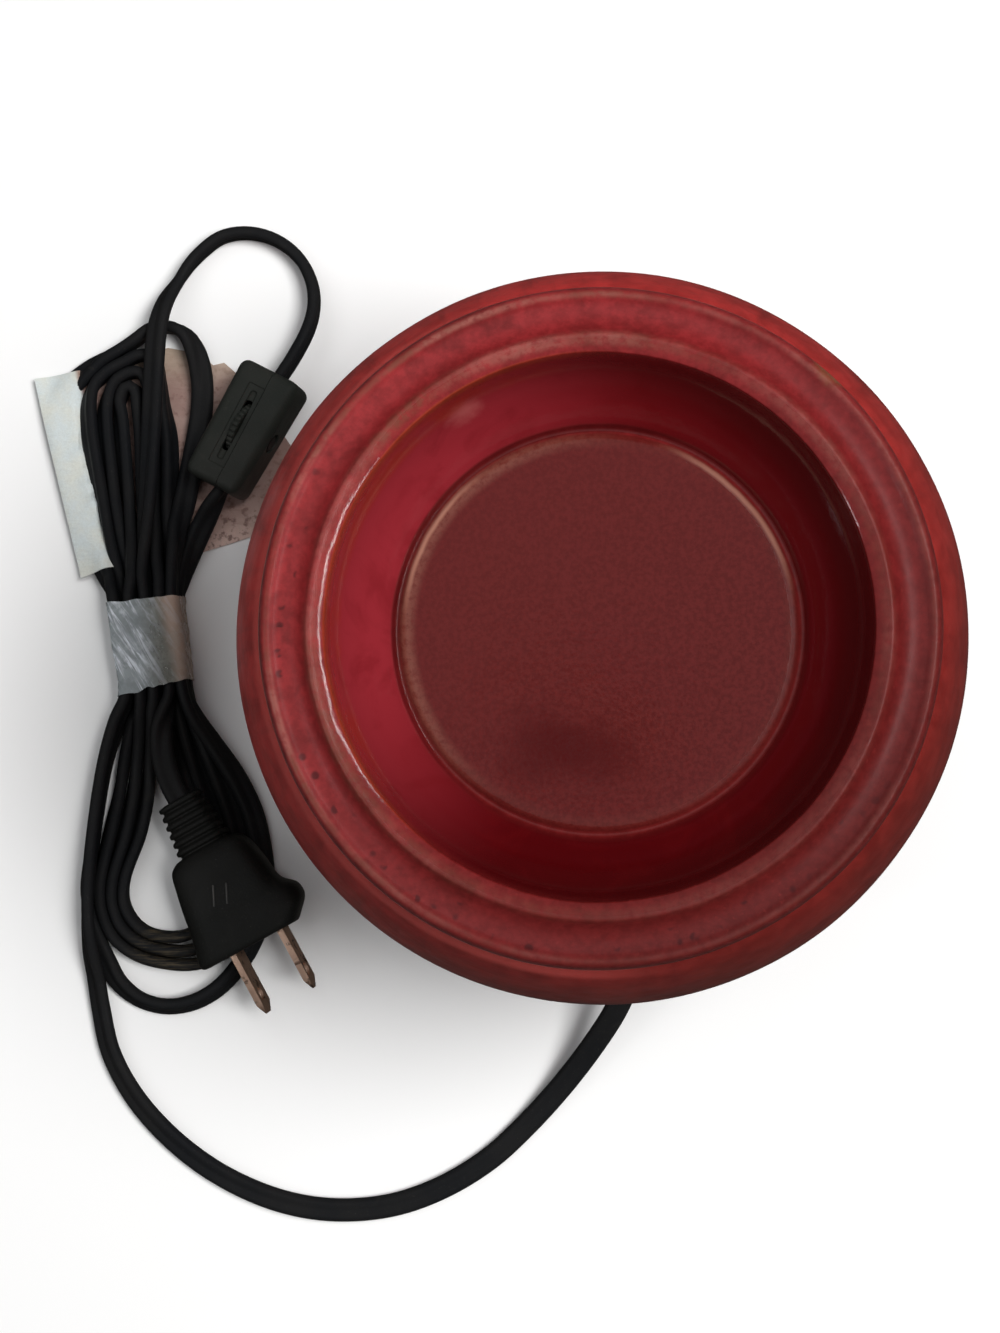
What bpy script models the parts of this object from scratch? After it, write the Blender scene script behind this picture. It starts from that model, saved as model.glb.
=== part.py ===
"""Electric wax warmer.

A round glazed pot on rubber feet holds a small lamp; a loose glazed dish rests on
its mouth and is warmed by the lamp.  A flat two-core cord leaves the back of the
foot, makes one wide bend on the table and runs into a tied hank that carries an
inline thumbwheel switch, a paper tag and a two-blade plug.

Units are metres, +Z is up.  The origin is on the table, on the axis of the pot.
The cord leaves the pot towards -Y and the hank lies on the -X side.
Working numbers below are in millimetres and are multiplied by MM once.
"""
import bpy
import bmesh
import math
from mathutils import Matrix, Vector

MM = 0.001

# ---------------------------------------------------------------- dimensions
# pot and dish
TOTAL_H = 145.0        # table to the crest of the bowl's lip
LIP_R = 51.2           # crest of the bowl's lip
LIP_EDGE_R = 50.1      # where the bowl's wall turns into the lip
GROOVE_R = 55.9        # bottom of the channel between the two ridges
GROOVE_Z = 142.2
RIDGE_R = 60.8         # crest of the outer ridge
RIDGE_Z = 143.1
DISH_R = 62.4          # rim edge of the dish
BOWL_FLOOR_R = 38.0
BOWL_FLOOR_Z = 124.0
BELLY_R = 75.3         # widest part of the pot
BELLY_Z = 64.0
MOUTH_R = 58.5         # outside of the pot's mouth
MOUTH_Z = 136.6
MOUTH_BORE = 56.6
FOOT_R = 52.3          # straight foot of the pot
FOOT_Z = 2.5           # underside of the foot ring
FOOT_TOP = 25.0
WALL = 4.5
LEDGE_R = 36.5         # ring inside the foot that carries the base plate
LEDGE_Z0 = 7.1
LEDGE_Z1 = 10.1
GAP = 0.3

# base
PLATE_R = 44.5
PLATE_Z0 = 5.6
PLATE_Z1 = 6.8
BASE_SCREW_R = 41.0    # circle of the three base screws
PAD_CIRCLE = 33.0
PAD_R = 6.0

# lamp
BRACKET_TOP = 31.2
SOCKET_Z0 = BRACKET_TOP + GAP
SOCKET_H = 27.0
CAP_R = 5.9            # candelabra cap, 12 mm
BULB_R = 17.5

# cord (flat, two cores)
CORD_W = 5.6
CORD_T = 2.9
TUBE_R = 2.1           # round tube of about the same section
HOLE_R = 4.6
HOLE_AT = (9.0, -52.0, 17.4)
EXIT_DIR = (-0.12, -0.985, -0.09)
RELIEF_OUT = 23.0      # how far the bushing reaches past the middle of the hole
RELIEF_IN = 11.0

# inline switch
SW_LEN, SW_H = 31.0, 13.0
SW_LEFT, SW_RIGHT = 7.0, 8.6   # from the middle plane of the wheel to each side of the case
SW_SPLIT = 2.1         # plane where the two halves meet, where the cord passes
SW_CENTRE = (-86.8, 54.9, 8.0)
SW_AXIS = (-0.468, -0.884)
SW_TILT = 7.0
SW_W = SW_LEFT + SW_RIGHT
WHEEL_R = 6.4
WHEEL_T = 1.6
WHEEL_BORE = 1.2       # runs on the pivot
PIVOT_R = 1.12
WHEEL_UP = 1.6         # wheel centre above the middle of the case

# plug
PLUG_FRONT = (-81.6, -68.3, 13.6)
PLUG_AXIS = (0.48, -0.877)
PLUG_ROLL = 5.0
PLUG_LEN = 39.0
BLADE_GAP = 12.7
BLADE_OUT = 15.9

SEG = 40

for ob in list(bpy.data.objects):
    bpy.data.objects.remove(ob, do_unlink=True)

scene_collection = bpy.context.scene.collection


# ---------------------------------------------------------------- helpers
def material(name, colour, roughness, metallic=0.0):
    m = bpy.data.materials.new(name)
    m.use_nodes = True
    b = m.node_tree.nodes["Principled BSDF"]
    b.inputs["Base Color"].default_value = (*colour, 1.0)
    b.inputs["Roughness"].default_value = roughness
    b.inputs["Metallic"].default_value = metallic
    return m


def finish(name, bm, mat, smooth=35.0, matrix=None, parent=None):
    bmesh.ops.remove_doubles(bm, verts=bm.verts, dist=1e-7)
    bmesh.ops.recalc_face_normals(bm, faces=bm.faces)
    me = bpy.data.meshes.new(name)
    bm.to_mesh(me)
    bm.free()
    me.materials.append(mat)
    if smooth:
        me.shade_smooth()
        me.set_sharp_from_angle(angle=math.radians(smooth))
    ob = bpy.data.objects.new(name, me)
    scene_collection.objects.link(ob)
    if matrix is not None:
        ob.matrix_world = matrix
    if parent is not None:
        ob.parent = parent
    return ob


def lathe_mesh(profile, seg=SEG):
    """Closed solid of revolution about Z.  profile is a closed outline in (r, z) mm;
    points with r = 0 become poles."""
    bm = bmesh.new()
    rings = []
    for r, z in profile:
        if r <= 1e-9:
            rings.append([bm.verts.new((0, 0, z * MM))])
        else:
            rings.append([
                bm.verts.new((r * MM * math.cos(2 * math.pi * i / seg),
                              r * MM * math.sin(2 * math.pi * i / seg), z * MM))
                for i in range(seg)])
    n = len(rings)
    for k in range(n):
        a, b = rings[k], rings[(k + 1) % n]
        if len(a) == 1 and len(b) == 1:
            continue
        for i in range(seg):
            j = (i + 1) % seg
            if len(a) == 1:
                bm.faces.new((a[0], b[i], b[j]))
            elif len(b) == 1:
                bm.faces.new((a[i], b[0], a[j]))
            else:
                bm.faces.new((a[i], b[i], b[j], a[j]))
    return bm


def lathe(name, profile, mat, seg=SEG, smooth=35.0, matrix=None):
    return finish(name, lathe_mesh(profile, seg), mat, smooth, matrix)


def loft(name, rings, mat, closed=False, smooth=35.0, matrix=None):
    """Skin through rings of equal point count (mm); ends are capped unless closed."""
    bm = bmesh.new()
    vs = [[bm.verts.new(Vector(p) * MM) for p in ring] for ring in rings]
    m = len(vs[0])
    n = len(vs)
    for k in range(n if closed else n - 1):
        a, b = vs[k], vs[(k + 1) % n]
        for i in range(m):
            j = (i + 1) % m
            bm.faces.new((a[i], b[i], b[j], a[j]))
    if not closed:
        bm.faces.new(vs[0])
        bm.faces.new(list(reversed(vs[-1])))
    return finish(name, bm, mat, smooth, matrix)


def prism(name, outline, z0, z1, mat, smooth=0.0, matrix=None):
    """Outline in local XY (mm), extruded along local Z."""
    return loft(name, [[(x, y, z0) for x, y in outline], [(x, y, z1) for x, y in outline]],
                mat, smooth=smooth, matrix=matrix)


def box_mesh(name, size, centre, mat, bevel=0.0, matrix=None, segments=2):
    bm = bmesh.new()
    bmesh.ops.create_cube(bm, size=1.0)
    for v in bm.verts:
        v.co = Vector((v.co.x * size[0] + centre[0], v.co.y * size[1] + centre[1],
                       v.co.z * size[2] + centre[2])) * MM
    if bevel:
        bmesh.ops.bevel(bm, geom=list(bm.edges), offset=bevel * MM, segments=segments,
                        profile=0.5, affect="EDGES")
    return finish(name, bm, mat, 35.0 if bevel else 0.0, matrix)


def cutter(ob):
    ob.hide_render = True
    ob.display_type = "WIRE"
    return ob


def cut(target, tool):
    cutter(tool)
    mod = target.modifiers.new("cut_" + tool.name, "BOOLEAN")
    mod.operation = "DIFFERENCE"
    mod.solver = "EXACT"
    mod.object = tool


def frame_matrix(origin, ex, ey, ez):
    """Local axes given in world directions, origin in mm."""
    m = Matrix.Identity(4)
    for c, v in enumerate((ex, ey, ez)):
        v = Vector(v).normalized()
        for r in range(3):
            m[r][c] = v[r]
    for r in range(3):
        m[r][3] = origin[r] * MM
    return m


def axis_matrix(origin, direction):
    """Local Z along direction."""
    ez = Vector(direction).normalized()
    ex = Vector((0, 0, 1)).cross(ez)
    if ex.length < 1e-6:
        ex = Vector((1, 0, 0))
    ex.normalize()
    return frame_matrix(origin, ex, ez.cross(ex), ez)


def smooth_path(points, spacing):
    """Centripetal Catmull-Rom curve through the points, read at an even spacing (mm)."""
    p = [Vector(q) for q in points]
    p = [2 * p[0] - p[1]] + p + [2 * p[-1] - p[-2]]
    dense = []
    for k in range(1, len(p) - 2):
        a, b, c, d = p[k - 1], p[k], p[k + 1], p[k + 2]
        t0 = 0.0
        t1 = t0 + max((b - a).length, 1e-6) ** 0.5
        t2 = t1 + max((c - b).length, 1e-6) ** 0.5
        t3 = t2 + max((d - c).length, 1e-6) ** 0.5
        for i in range(24):
            t = t1 + (t2 - t1) * i / 24
            a1 = a * ((t1 - t) / (t1 - t0)) + b * ((t - t0) / (t1 - t0))
            a2 = b * ((t2 - t) / (t2 - t1)) + c * ((t - t1) / (t2 - t1))
            a3 = c * ((t3 - t) / (t3 - t2)) + d * ((t - t2) / (t3 - t2))
            b1 = a1 * ((t2 - t) / (t2 - t0)) + a2 * ((t - t0) / (t2 - t0))
            b2 = a2 * ((t3 - t) / (t3 - t1)) + a3 * ((t - t1) / (t3 - t1))
            dense.append(b1 * ((t2 - t) / (t2 - t1)) + b2 * ((t - t1) / (t2 - t1)))
    dense.append(p[-2])
    total = sum((dense[i + 1] - dense[i]).length for i in range(len(dense) - 1))
    n = max(2, int(round(total / spacing)))
    out, walked, k = [dense[0]], 0.0, 0
    for i in range(1, n):
        want = total * i / n
        while walked + (dense[k + 1] - dense[k]).length < want:
            walked += (dense[k + 1] - dense[k]).length
            k += 1
        f = (want - walked) / (dense[k + 1] - dense[k]).length
        out.append(dense[k].lerp(dense[k + 1], f))
    out.append(dense[-1])
    return out


def tube(name, points, radius, mat, spacing, sides=2):
    pts = smooth_path(points, spacing)
    cu = bpy.data.curves.new(name, "CURVE")
    cu.dimensions = "3D"
    cu.bevel_depth = radius * MM
    cu.bevel_resolution = sides
    cu.use_fill_caps = True
    cu.resolution_u = 1
    cu.render_resolution_u = 0
    sp = cu.splines.new("POLY")
    sp.points.add(len(pts) - 1)
    for s, q in zip(sp.points, pts):
        s.co = (q.x * MM, q.y * MM, q.z * MM, 1.0)
    cu.materials.append(mat)
    ob = bpy.data.objects.new(name, cu)
    scene_collection.objects.link(ob)
    return ob


def arc(r, n, a0=0.0, a1=360.0, cx=0.0, cy=0.0, end=False):
    steps = n if not end else n - 1
    return [(cx + r * math.cos(math.radians(a0 + (a1 - a0) * i / steps)),
             cy + r * math.sin(math.radians(a0 + (a1 - a0) * i / steps))) for i in range(n)]


# ---------------------------------------------------------------- materials
GLAZE = (0.165, 0.012, 0.016)
m_dish = material("dish_glaze", GLAZE, 0.12)
m_body = material("body_glaze", (0.14, 0.013, 0.013), 0.15)
m_plate = material("zinc_plate", (0.55, 0.56, 0.57), 0.42, 1.0)
m_screw = material("steel_screw", (0.62, 0.62, 0.62), 0.3, 1.0)
m_rubber = material("rubber_pad", (0.02, 0.02, 0.02), 0.8)
m_socket = material("phenolic", (0.86, 0.83, 0.76), 0.45)
m_brass = material("brass", (0.78, 0.57, 0.25), 0.3, 1.0)
m_nickel = material("nickel", (0.68, 0.66, 0.62), 0.25, 1.0)
m_glass = material("bulb_glass", (0.95, 0.95, 0.95), 0.05)
m_wire = material("lead_insulation", (0.03, 0.03, 0.03), 0.5)
m_wire2 = material("lead_insulation_white", (0.75, 0.74, 0.7), 0.5)
m_filament = material("filament", (0.25, 0.24, 0.23), 0.4, 1.0)
m_cord = material("cord_vinyl", (0.012, 0.012, 0.013), 0.45)
m_moulded = material("moulded_vinyl", (0.014, 0.014, 0.014), 0.5)
m_tape = material("clear_tape", (0.7, 0.72, 0.75), 0.2)
m_paper = material("tag_paper", (0.78, 0.78, 0.76), 0.8)
m_blade = material("blade_bronze", (0.52, 0.33, 0.24), 0.35, 1.0)

# ---------------------------------------------------------------- the dish
def ease(a, b, t):
    return a + (b - a) * t


dish_profile = [(0.0, BOWL_FLOOR_Z), (BOWL_FLOOR_R - 1.2, BOWL_FLOOR_Z)]
# bowl wall: a short fillet, then a wall that steepens towards the lip
for k in range(1, 8):
    t = k / 7.0
    r = ease(BOWL_FLOOR_R - 1.2, LIP_EDGE_R, math.sin(t * math.pi / 2) ** 0.85)
    z = BOWL_FLOOR_Z + (TOTAL_H - 1.0 - BOWL_FLOOR_Z) * (1 - math.cos(t * math.pi / 2)) ** 0.72
    dish_profile.append((r, z))
dish_profile += [
    (LIP_R - 0.5, TOTAL_H - 0.25), (LIP_R, TOTAL_H), (LIP_R + 0.9, TOTAL_H - 0.4),
    (LIP_R + 2.5, TOTAL_H - 1.1), (GROOVE_R - 0.9, GROOVE_Z + 0.6), (GROOVE_R + 0.2, GROOVE_Z),
    (GROOVE_R + 2.0, GROOVE_Z + 0.4), (RIDGE_R - 1.4, RIDGE_Z - 0.5), (RIDGE_R, RIDGE_Z),
    (RIDGE_R + 1.0, RIDGE_Z - 0.6), (DISH_R, RIDGE_Z - 2.0), (DISH_R - 0.2, MOUTH_Z + 1.4),
    (DISH_R - 1.3, MOUTH_Z + 0.5), (MOUTH_BORE - 0.6, MOUTH_Z + 0.4),
    (MOUTH_BORE - 0.7, MOUTH_Z - 2.2), (LIP_R + 2.6, MOUTH_Z - 3.4),
    (LIP_R - 0.4, MOUTH_Z - 10.0), (BOWL_FLOOR_R + 6.0, BOWL_FLOOR_Z - 2.6),
    (BOWL_FLOOR_R + 1.0, BOWL_FLOOR_Z - 5.2), (0.0, BOWL_FLOOR_Z - 5.2),
]
wax_dish = lathe("wax_dish", dish_profile, m_dish, smooth=50)

# ---------------------------------------------------------------- the pot
outer = []
for k in range(9):          # shoulder: quarter ellipse from the mouth to the belly
    a = math.radians(90.0 * k / 8)
    outer.append((MOUTH_R + (BELLY_R - MOUTH_R) * math.sin(a),
                  BELLY_Z + (MOUTH_Z - BELLY_Z) * math.cos(a)))
for k in range(1, 7):       # belly turning in to the straight foot
    a = math.radians(90.0 * k / 6)
    outer.append((FOOT_R + (BELLY_R - FOOT_R) * math.cos(a),
                  BELLY_Z - (BELLY_Z - FOOT_TOP) * math.sin(a) ** 1.15))
outer += [(FOOT_R, 6.0), (FOOT_R - 0.9, FOOT_Z)]
inner = [(FOOT_R - WALL - 0.4, FOOT_Z), (FOOT_R - WALL - 0.4, LEDGE_Z0), (LEDGE_R, LEDGE_Z0),
         (LEDGE_R, LEDGE_Z1), (FOOT_R - WALL, LEDGE_Z1), (FOOT_R - WALL, FOOT_TOP + 1.5)]
for k in range(4, 0, -1):
    a = math.radians(90.0 * k / 5)
    inner.append((FOOT_R - WALL + (BELLY_R - FOOT_R) * math.cos(a),
                  BELLY_Z - (BELLY_Z - FOOT_TOP - 1.5) * math.sin(a) ** 1.15))
for k in range(6, 0, -1):
    a = math.radians(90.0 * k / 6)
    inner.append((MOUTH_BORE + (BELLY_R - WALL - MOUTH_BORE) * math.sin(a),
                  BELLY_Z + (MOUTH_Z - 4.0 - BELLY_Z) * math.cos(a)))
inner += [(MOUTH_BORE, MOUTH_Z - 3.0), (MOUTH_BORE + 0.5, MOUTH_Z - 0.4)]
ceramic_body = lathe("ceramic_body", outer + inner, m_body, smooth=50)

cord_hole = finish("cut_cord_hole", lathe_mesh([(0, -8.0), (HOLE_R, -8.0), (HOLE_R, 8.0), (0, 8.0)], 16),
                   m_body, 0, axis_matrix((HOLE_AT[0], HOLE_AT[1] + 2.0, HOLE_AT[2]), EXIT_DIR))
cut(ceramic_body, cord_hole)

# ---------------------------------------------------------------- base plate, screws, pads
base_plate = prism("base_plate", arc(PLATE_R, SEG, 3.7, 363.7), PLATE_Z0, PLATE_Z1, m_plate)
screw_xy = [(BASE_SCREW_R * math.cos(math.radians(a)), BASE_SCREW_R * math.sin(math.radians(a)))
            for a in (93.0, 213.0, 333.0)]
bracket_xy = [(-17.0, 0.0), (17.0, 0.0)]


def hole(name, x, y, r, z0, z1, seg=12):
    return finish(name, lathe_mesh([(0, z0), (0, z1), (r, z1), (r, z0)][::-1], seg), m_plate, 0,
                  Matrix.Translation((x * MM, y * MM, 0)) @ Matrix.Rotation(0.21, 4, "Z"))


for i, (x, y) in enumerate(screw_xy):
    cut(base_plate, hole("cut_plate_screw_%d" % i, x, y, 2.0, 3.0, 9.0))
    cut(ceramic_body, hole("cut_ledge_screw_%d" % i, x, y, 2.1, 5.0, 12.0))
for i, (x, y) in enumerate(bracket_xy):
    cut(base_plate, hole("cut_plate_bracket_%d" % i, x, y, 2.0, 3.0, 9.0))
# ring of air holes around the lamp
for i in range(8):
    a = math.radians(22.5 + 45 * i)
    cut(base_plate, hole("cut_vent_%d" % i, 24.0 * math.cos(a), 24.0 * math.sin(a), 2.6, 3.0, 9.0))


def screw(name, x, y, top, tip, head_r=3.4, head_h=1.4, r=1.65):
    """Pan-head screw whose head is under the plate; top is the underside it bears on."""
    prof = [(0, tip), (r * 0.75, tip), (r, tip - 0.5), (r, top), (head_r, top),
            (head_r, top - head_h * 0.45), (head_r * 0.7, top - head_h), (0, top - head_h)]
    ob = lathe(name, prof, m_screw, seg=16, smooth=30, matrix=Matrix.Translation((x * MM, y * MM, 0)))
    a = math.radians(45)
    for k, ang in enumerate((a, a + math.pi / 2)):
        t = box_mesh("cut_%s_%d" % (name, k), (head_r * 1.15, 0.7, 1.0), (0, 0, 0), m_screw,
                     matrix=Matrix.Translation((x * MM, y * MM, (top - head_h) * MM)) @ Matrix.Rotation(ang, 4, "Z"))
        cut(ob, t)
    return ob


def nut(name, x, y, z0, h=2.4, af=6.4, bore=1.95):
    """Hexagon nut; af is the width across flats."""
    R = af / 2 / math.cos(math.radians(30))
    rb = bore / math.cos(math.radians(30))
    return lathe(name, [(R, z0), (R, z0 + h), (rb, z0 + h), (rb, z0)], m_screw, seg=6, smooth=0,
                 matrix=Matrix.Translation((x * MM, y * MM, 0)))


for i, (x, y) in enumerate(screw_xy):
    screw("base_screw_%d" % (i + 1), x, y, PLATE_Z0 - GAP, LEDGE_Z1 + 4.2)
    nut("base_nut_%d" % (i + 1), x, y, LEDGE_Z1 + GAP)
for i, (x, y) in enumerate(bracket_xy):
    screw("bracket_screw_%d" % (i + 1), x, y, PLATE_Z0 - GAP, PLATE_Z1 + 5.6)
    nut("bracket_nut_%d" % (i + 1), x, y, PLATE_Z1 + GAP + 1.2 + GAP)
for i in range(4):
    a = math.radians(45 + 90 * i)
    lathe("rubber_pad_%d" % (i + 1),
          [(0, 0), (PAD_R - 0.8, 0), (PAD_R - 0.1, 0.7), (PAD_R, PLATE_Z0 - GAP), (0, PLATE_Z0 - GAP)],
          m_rubber, seg=20, smooth=30,
          matrix=Matrix.Translation((PAD_CIRCLE * math.cos(a) * MM, PAD_CIRCLE * math.sin(a) * MM, 0)))

# ---------------------------------------------------------------- lamp bracket and holder
BT = 1.2
z_f = PLATE_Z1 + GAP
hat = [(-22, z_f), (-11, z_f), (-11, BRACKET_TOP - BT), (11, BRACKET_TOP - BT), (11, z_f), (22, z_f),
       (22, z_f + BT), (11 + BT, z_f + BT), (11 + BT, BRACKET_TOP), (-11 - BT, BRACKET_TOP),
       (-11 - BT, z_f + BT), (-22, z_f + BT)]
lamp_bracket = loft("lamp_bracket", [[(x, -5.5, z) for x, z in hat], [(x, 5.5, z) for x, z in hat]], m_plate,
                    smooth=0)
for i, (x, y) in enumerate(bracket_xy):
    cut(lamp_bracket, hole("cut_bracket_foot_%d" % i, x, y, 2.0, 4.0, 11.0))
cut(lamp_bracket, hole("cut_bracket_top", 0, 0, 2.5, BRACKET_TOP - 4, BRACKET_TOP + 3))

zs = SOCKET_Z0
lathe("socket_rivet", [(0, zs + 2.6), (2.1, zs + 2.6), (2.1, BRACKET_TOP - BT - GAP), (3.8, BRACKET_TOP - BT - GAP),
                       (3.4, BRACKET_TOP - BT - 1.3), (0, BRACKET_TOP - BT - 1.3)], m_brass, seg=16, smooth=30)
socket_body = lathe("socket_body", [
    (0, zs + 4.4), (7.1, zs + 4.4), (7.1, zs + SOCKET_H), (9.6, zs + SOCKET_H), (10.2, zs + SOCKET_H - 0.6),
    (10.2, zs + 13.0), (10.9, zs + 12.0), (10.9, zs + 0.6), (10.3, zs), (2.45, zs), (2.45, zs + 3.0), (0, zs + 3.0)],
    m_socket, seg=24, smooth=30)
shell = [(6.7, zs + 9.0), (6.7, zs + 25.4), (6.3, zs + 25.4), (6.3, zs + 9.0)]
lathe("socket_screw_shell", shell, m_brass, seg=20, smooth=30)
spring = [(-4.6, zs + 4.75), (4.0, zs + 4.75), (4.6, zs + 5.6), (-1.2, zs + 7.4), (-2.4, zs + 7.4), (-2.4, zs + 6.9),
          (-1.6, zs + 6.9), (3.0, zs + 5.3), (-4.6, zs + 5.25)]
loft("socket_contact", [[(x, -1.6, z) for x, z in spring], [(x, 1.6, z) for x, z in spring]], m_brass, smooth=0)

# ---------------------------------------------------------------- bulb (lifts out as one)
zb = zs + 8.2               # bottom of the cap
lathe("bulb_contact", [(0, zb - 0.5), (1.3, zb - 0.3), (1.9, zb + 0.2), (1.9, zb + 2.0), (0, zb + 2.0)],
      m_brass, seg=16, smooth=40)
lathe("bulb_cap", [(2.2, zb + 0.6), (3.6, zb + 0.3), (CAP_R - 0.3, zb + 2.6), (CAP_R, zb + 3.4), (CAP_R, zb + 14.6),
                   (CAP_R - 0.5, zb + 14.6), (CAP_R - 0.5, zb + 3.6), (2.2, zb + 1.0)], m_nickel, seg=20, smooth=30)
zg = zb + 4.6
glass_out = [(4.9, zg), (4.9, zg + 10.0), (6.4, zg + 14.0), (11.0, zg + 20.5), (15.4, zg + 27.0), (BULB_R, zg + 35.0),
             (16.2, zg + 42.5), (12.2, zg + 48.6), (6.6, zg + 52.0)]
top_out, top_in = zg + 53.2, zg + 52.5
glass_in = [(max(r - 0.7, 4.2), z - (0.5 if z > zg + 36 else 0.0)) for r, z in reversed(glass_out)]
lathe("bulb_glass", glass_out + [(0, top_out), (0, top_in)] + glass_in, m_glass, seg=20, smooth=60)
tube("bulb_filament", [(-1.4, 0, zg + 2.5), (-1.6, 0, zg + 16), (-5.5, 0, zg + 31), (-3.2, 1.2, zg + 34),
                       (0, -1.0, zg + 31.5), (3.2, 1.2, zg + 34), (5.5, 0, zg + 31), (1.6, 0, zg + 16),
                       (1.4, 0, zg + 2.5)], 0.35, m_filament, 2.8, sides=1)

# ---------------------------------------------------------------- cord bushing and inner leads
ex = Vector(EXIT_DIR).normalized()
relief = [(0, -RELIEF_IN), (6.2, -RELIEF_IN), (6.6, -RELIEF_IN + 0.6), (6.6, -RELIEF_IN + 2.4), (4.2, -RELIEF_IN + 3.0),
          (4.2, 4.4), (5.9, 5.0), (6.2, 5.8), (6.0, 7.4), (4.6, 8.2)]
for k in range(5):          # soft ribs that narrow towards the tip
    r = 4.6 - 0.28 * k
    z = 8.9 + 2.8 * k
    relief += [(r, z), (r - 0.1, z + 1.2), (r - 0.75, z + 1.5), (r - 0.8, z + 2.3)]
relief += [(2.9, RELIEF_OUT - 0.3), (2.7, RELIEF_OUT), (0, RELIEF_OUT)]
strain_relief = lathe("strain_relief", relief, m_moulded, seg=12, smooth=35, matrix=axis_matrix(HOLE_AT, EXIT_DIR))

inner_end = Vector(HOLE_AT) - ex * (RELIEF_IN + GAP)
side = Vector((0, 0, 1)).cross(ex).normalized()
pa = inner_end + side * 1.5
pb = inner_end + side * -1.5
tube("live_lead", [pa, pa - ex * 5, (16.5, -22, 16), (17.0, -4, 18), (14.0, 10.0, 23), (4.0, 10.5, 28.0),
                   (0.0, 8.2, zs - 2.2), (0.0, 8.2, zs - GAP)], 1.0, m_wire, 3.0, sides=1)
tube("neutral_lead", [pb, pb - ex * 5, (6.0, -22, 17.5), (1.5, -11.0, 24), (0.0, -8.4, zs - 2.5),
                      (0.0, -8.2, zs - GAP)], 1.0, m_wire2, 3.0, sides=1)

# ---------------------------------------------------------------- cord on the table
tip = Vector(HOLE_AT) + ex * (RELIEF_OUT + GAP)
lead_points = [tuple(tip), tuple(tip + ex * 2.5), (3.3, -84.0, 13.4), (-1.6, -92.2, 9.6), (-9.3, -102.9, 4.4),
               (-18.4, -113.3, 2.5), (-27.4, -121.6, 2.4), (-38.4, -128.4, 2.4), (-49.5, -132.6, 2.4),
               (-60.5, -134.2, 2.4), (-71.1, -133.7, 2.4), (-81.9, -131.0, 2.4), (-94.0, -125.3, 2.4),
               (-104.9, -117.2, 2.4), (-114.0, -107.1, 2.4), (-119.8, -96.4, 2.4), (-122.0, -84.5, 2.6)]
tube("cord_lead", lead_points, TUBE_R, m_cord, 7.5)

# The hank: a bow-tie bundle.  Stations along Y give its left and right sides, its top.
STATIONS = [  # y, left, right, top
    (-87.4, -108.0, -101.5, 5.0), (-85.0, -113.5, -95.5, 6.2), (-80.5, -118.8, -90.5, 6.3),
    (-76.0, -122.6, -87.0, 6.3), (-69.0, -126.2, -82.6, 6.3), (-57.0, -126.8, -79.2, 6.3),
    (-43.0, -125.2, -79.8, 6.3), (-31.0, -123.2, -83.6, 6.3), (-20.5, -121.2, -90.4, 6.3),
    (-12.5, -118.4, -96.4, 6.5), (-9.6, -116.4, -99.2, 10.5), (-8.0, -116.2, -99.2, 12.2), (3.0, -117.3, -100.6, 12.4),
    (14.0, -119.0, -101.9, 12.2), (17.0, -120.6, -102.0, 11.0), (24.0, -123.4, -101.6, 9.0),
    (32.0, -126.2, -101.4, 7.4), (40.0, -127.8, -101.2, 6.8), (50.0, -128.6, -98.8, 6.7), (60.0, -128.8, -95.0, 6.7),
    (68.0, -128.2, -94.2, 6.7), (74.0, -124.6, -95.2, 6.7), (79.0, -117.6, -97.4, 6.6), (82.2, -112.4, -101.2, 6.0),
]
HANK_Z0 = 0.8


def section(y, left, right, z0, z1, grow=0.0, n=12, p=3.2):
    cx, cz = (left + right) / 2, (z0 + z1) / 2
    a, b = (right - left) / 2 + grow, (z1 - z0) / 2 + grow
    out = []
    for i in range(n):
        t = 2 * math.pi * (i + 0.5) / n
        c, s = math.cos(t), math.sin(t)
        out.append((cx + a * math.copysign(abs(c) ** (2 / p), c), y, cz + b * math.copysign(abs(s) ** (2 / p), s)))
    return out


def station_at(y):
    for (y0, l0, r0, t0), (y1, l1, r1, t1) in zip(STATIONS, STATIONS[1:]):
        if y0 <= y <= y1:
            f = (y - y0) / (y1 - y0)
            return l0 + (l1 - l0) * f, r0 + (r1 - r0) * f, t0 + (t1 - t0) * f
    return None


loft("cord_hank", [section(y, l, r, HANK_Z0, t) for y, l, r, t in STATIONS], m_cord, smooth=40)

# clear tape wound round the waist
rings = []
tie_y = [-7.4, -3.0, 3.0, 9.0, 13.2]
for y in tie_y:
    l, r, t = station_at(y)
    rings.append(section(y, l, r, HANK_Z0, 12.4, 0.75, n=14))
inner_rings = []
for y in tie_y:
    l, r, t = station_at(y)
    inner_rings.append(section(y, l, r, HANK_Z0, 12.4, 0.35, n=14))
loft("tie_wrap", rings + list(reversed(inner_rings)), m_tape, closed=True, smooth=40)

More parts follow.
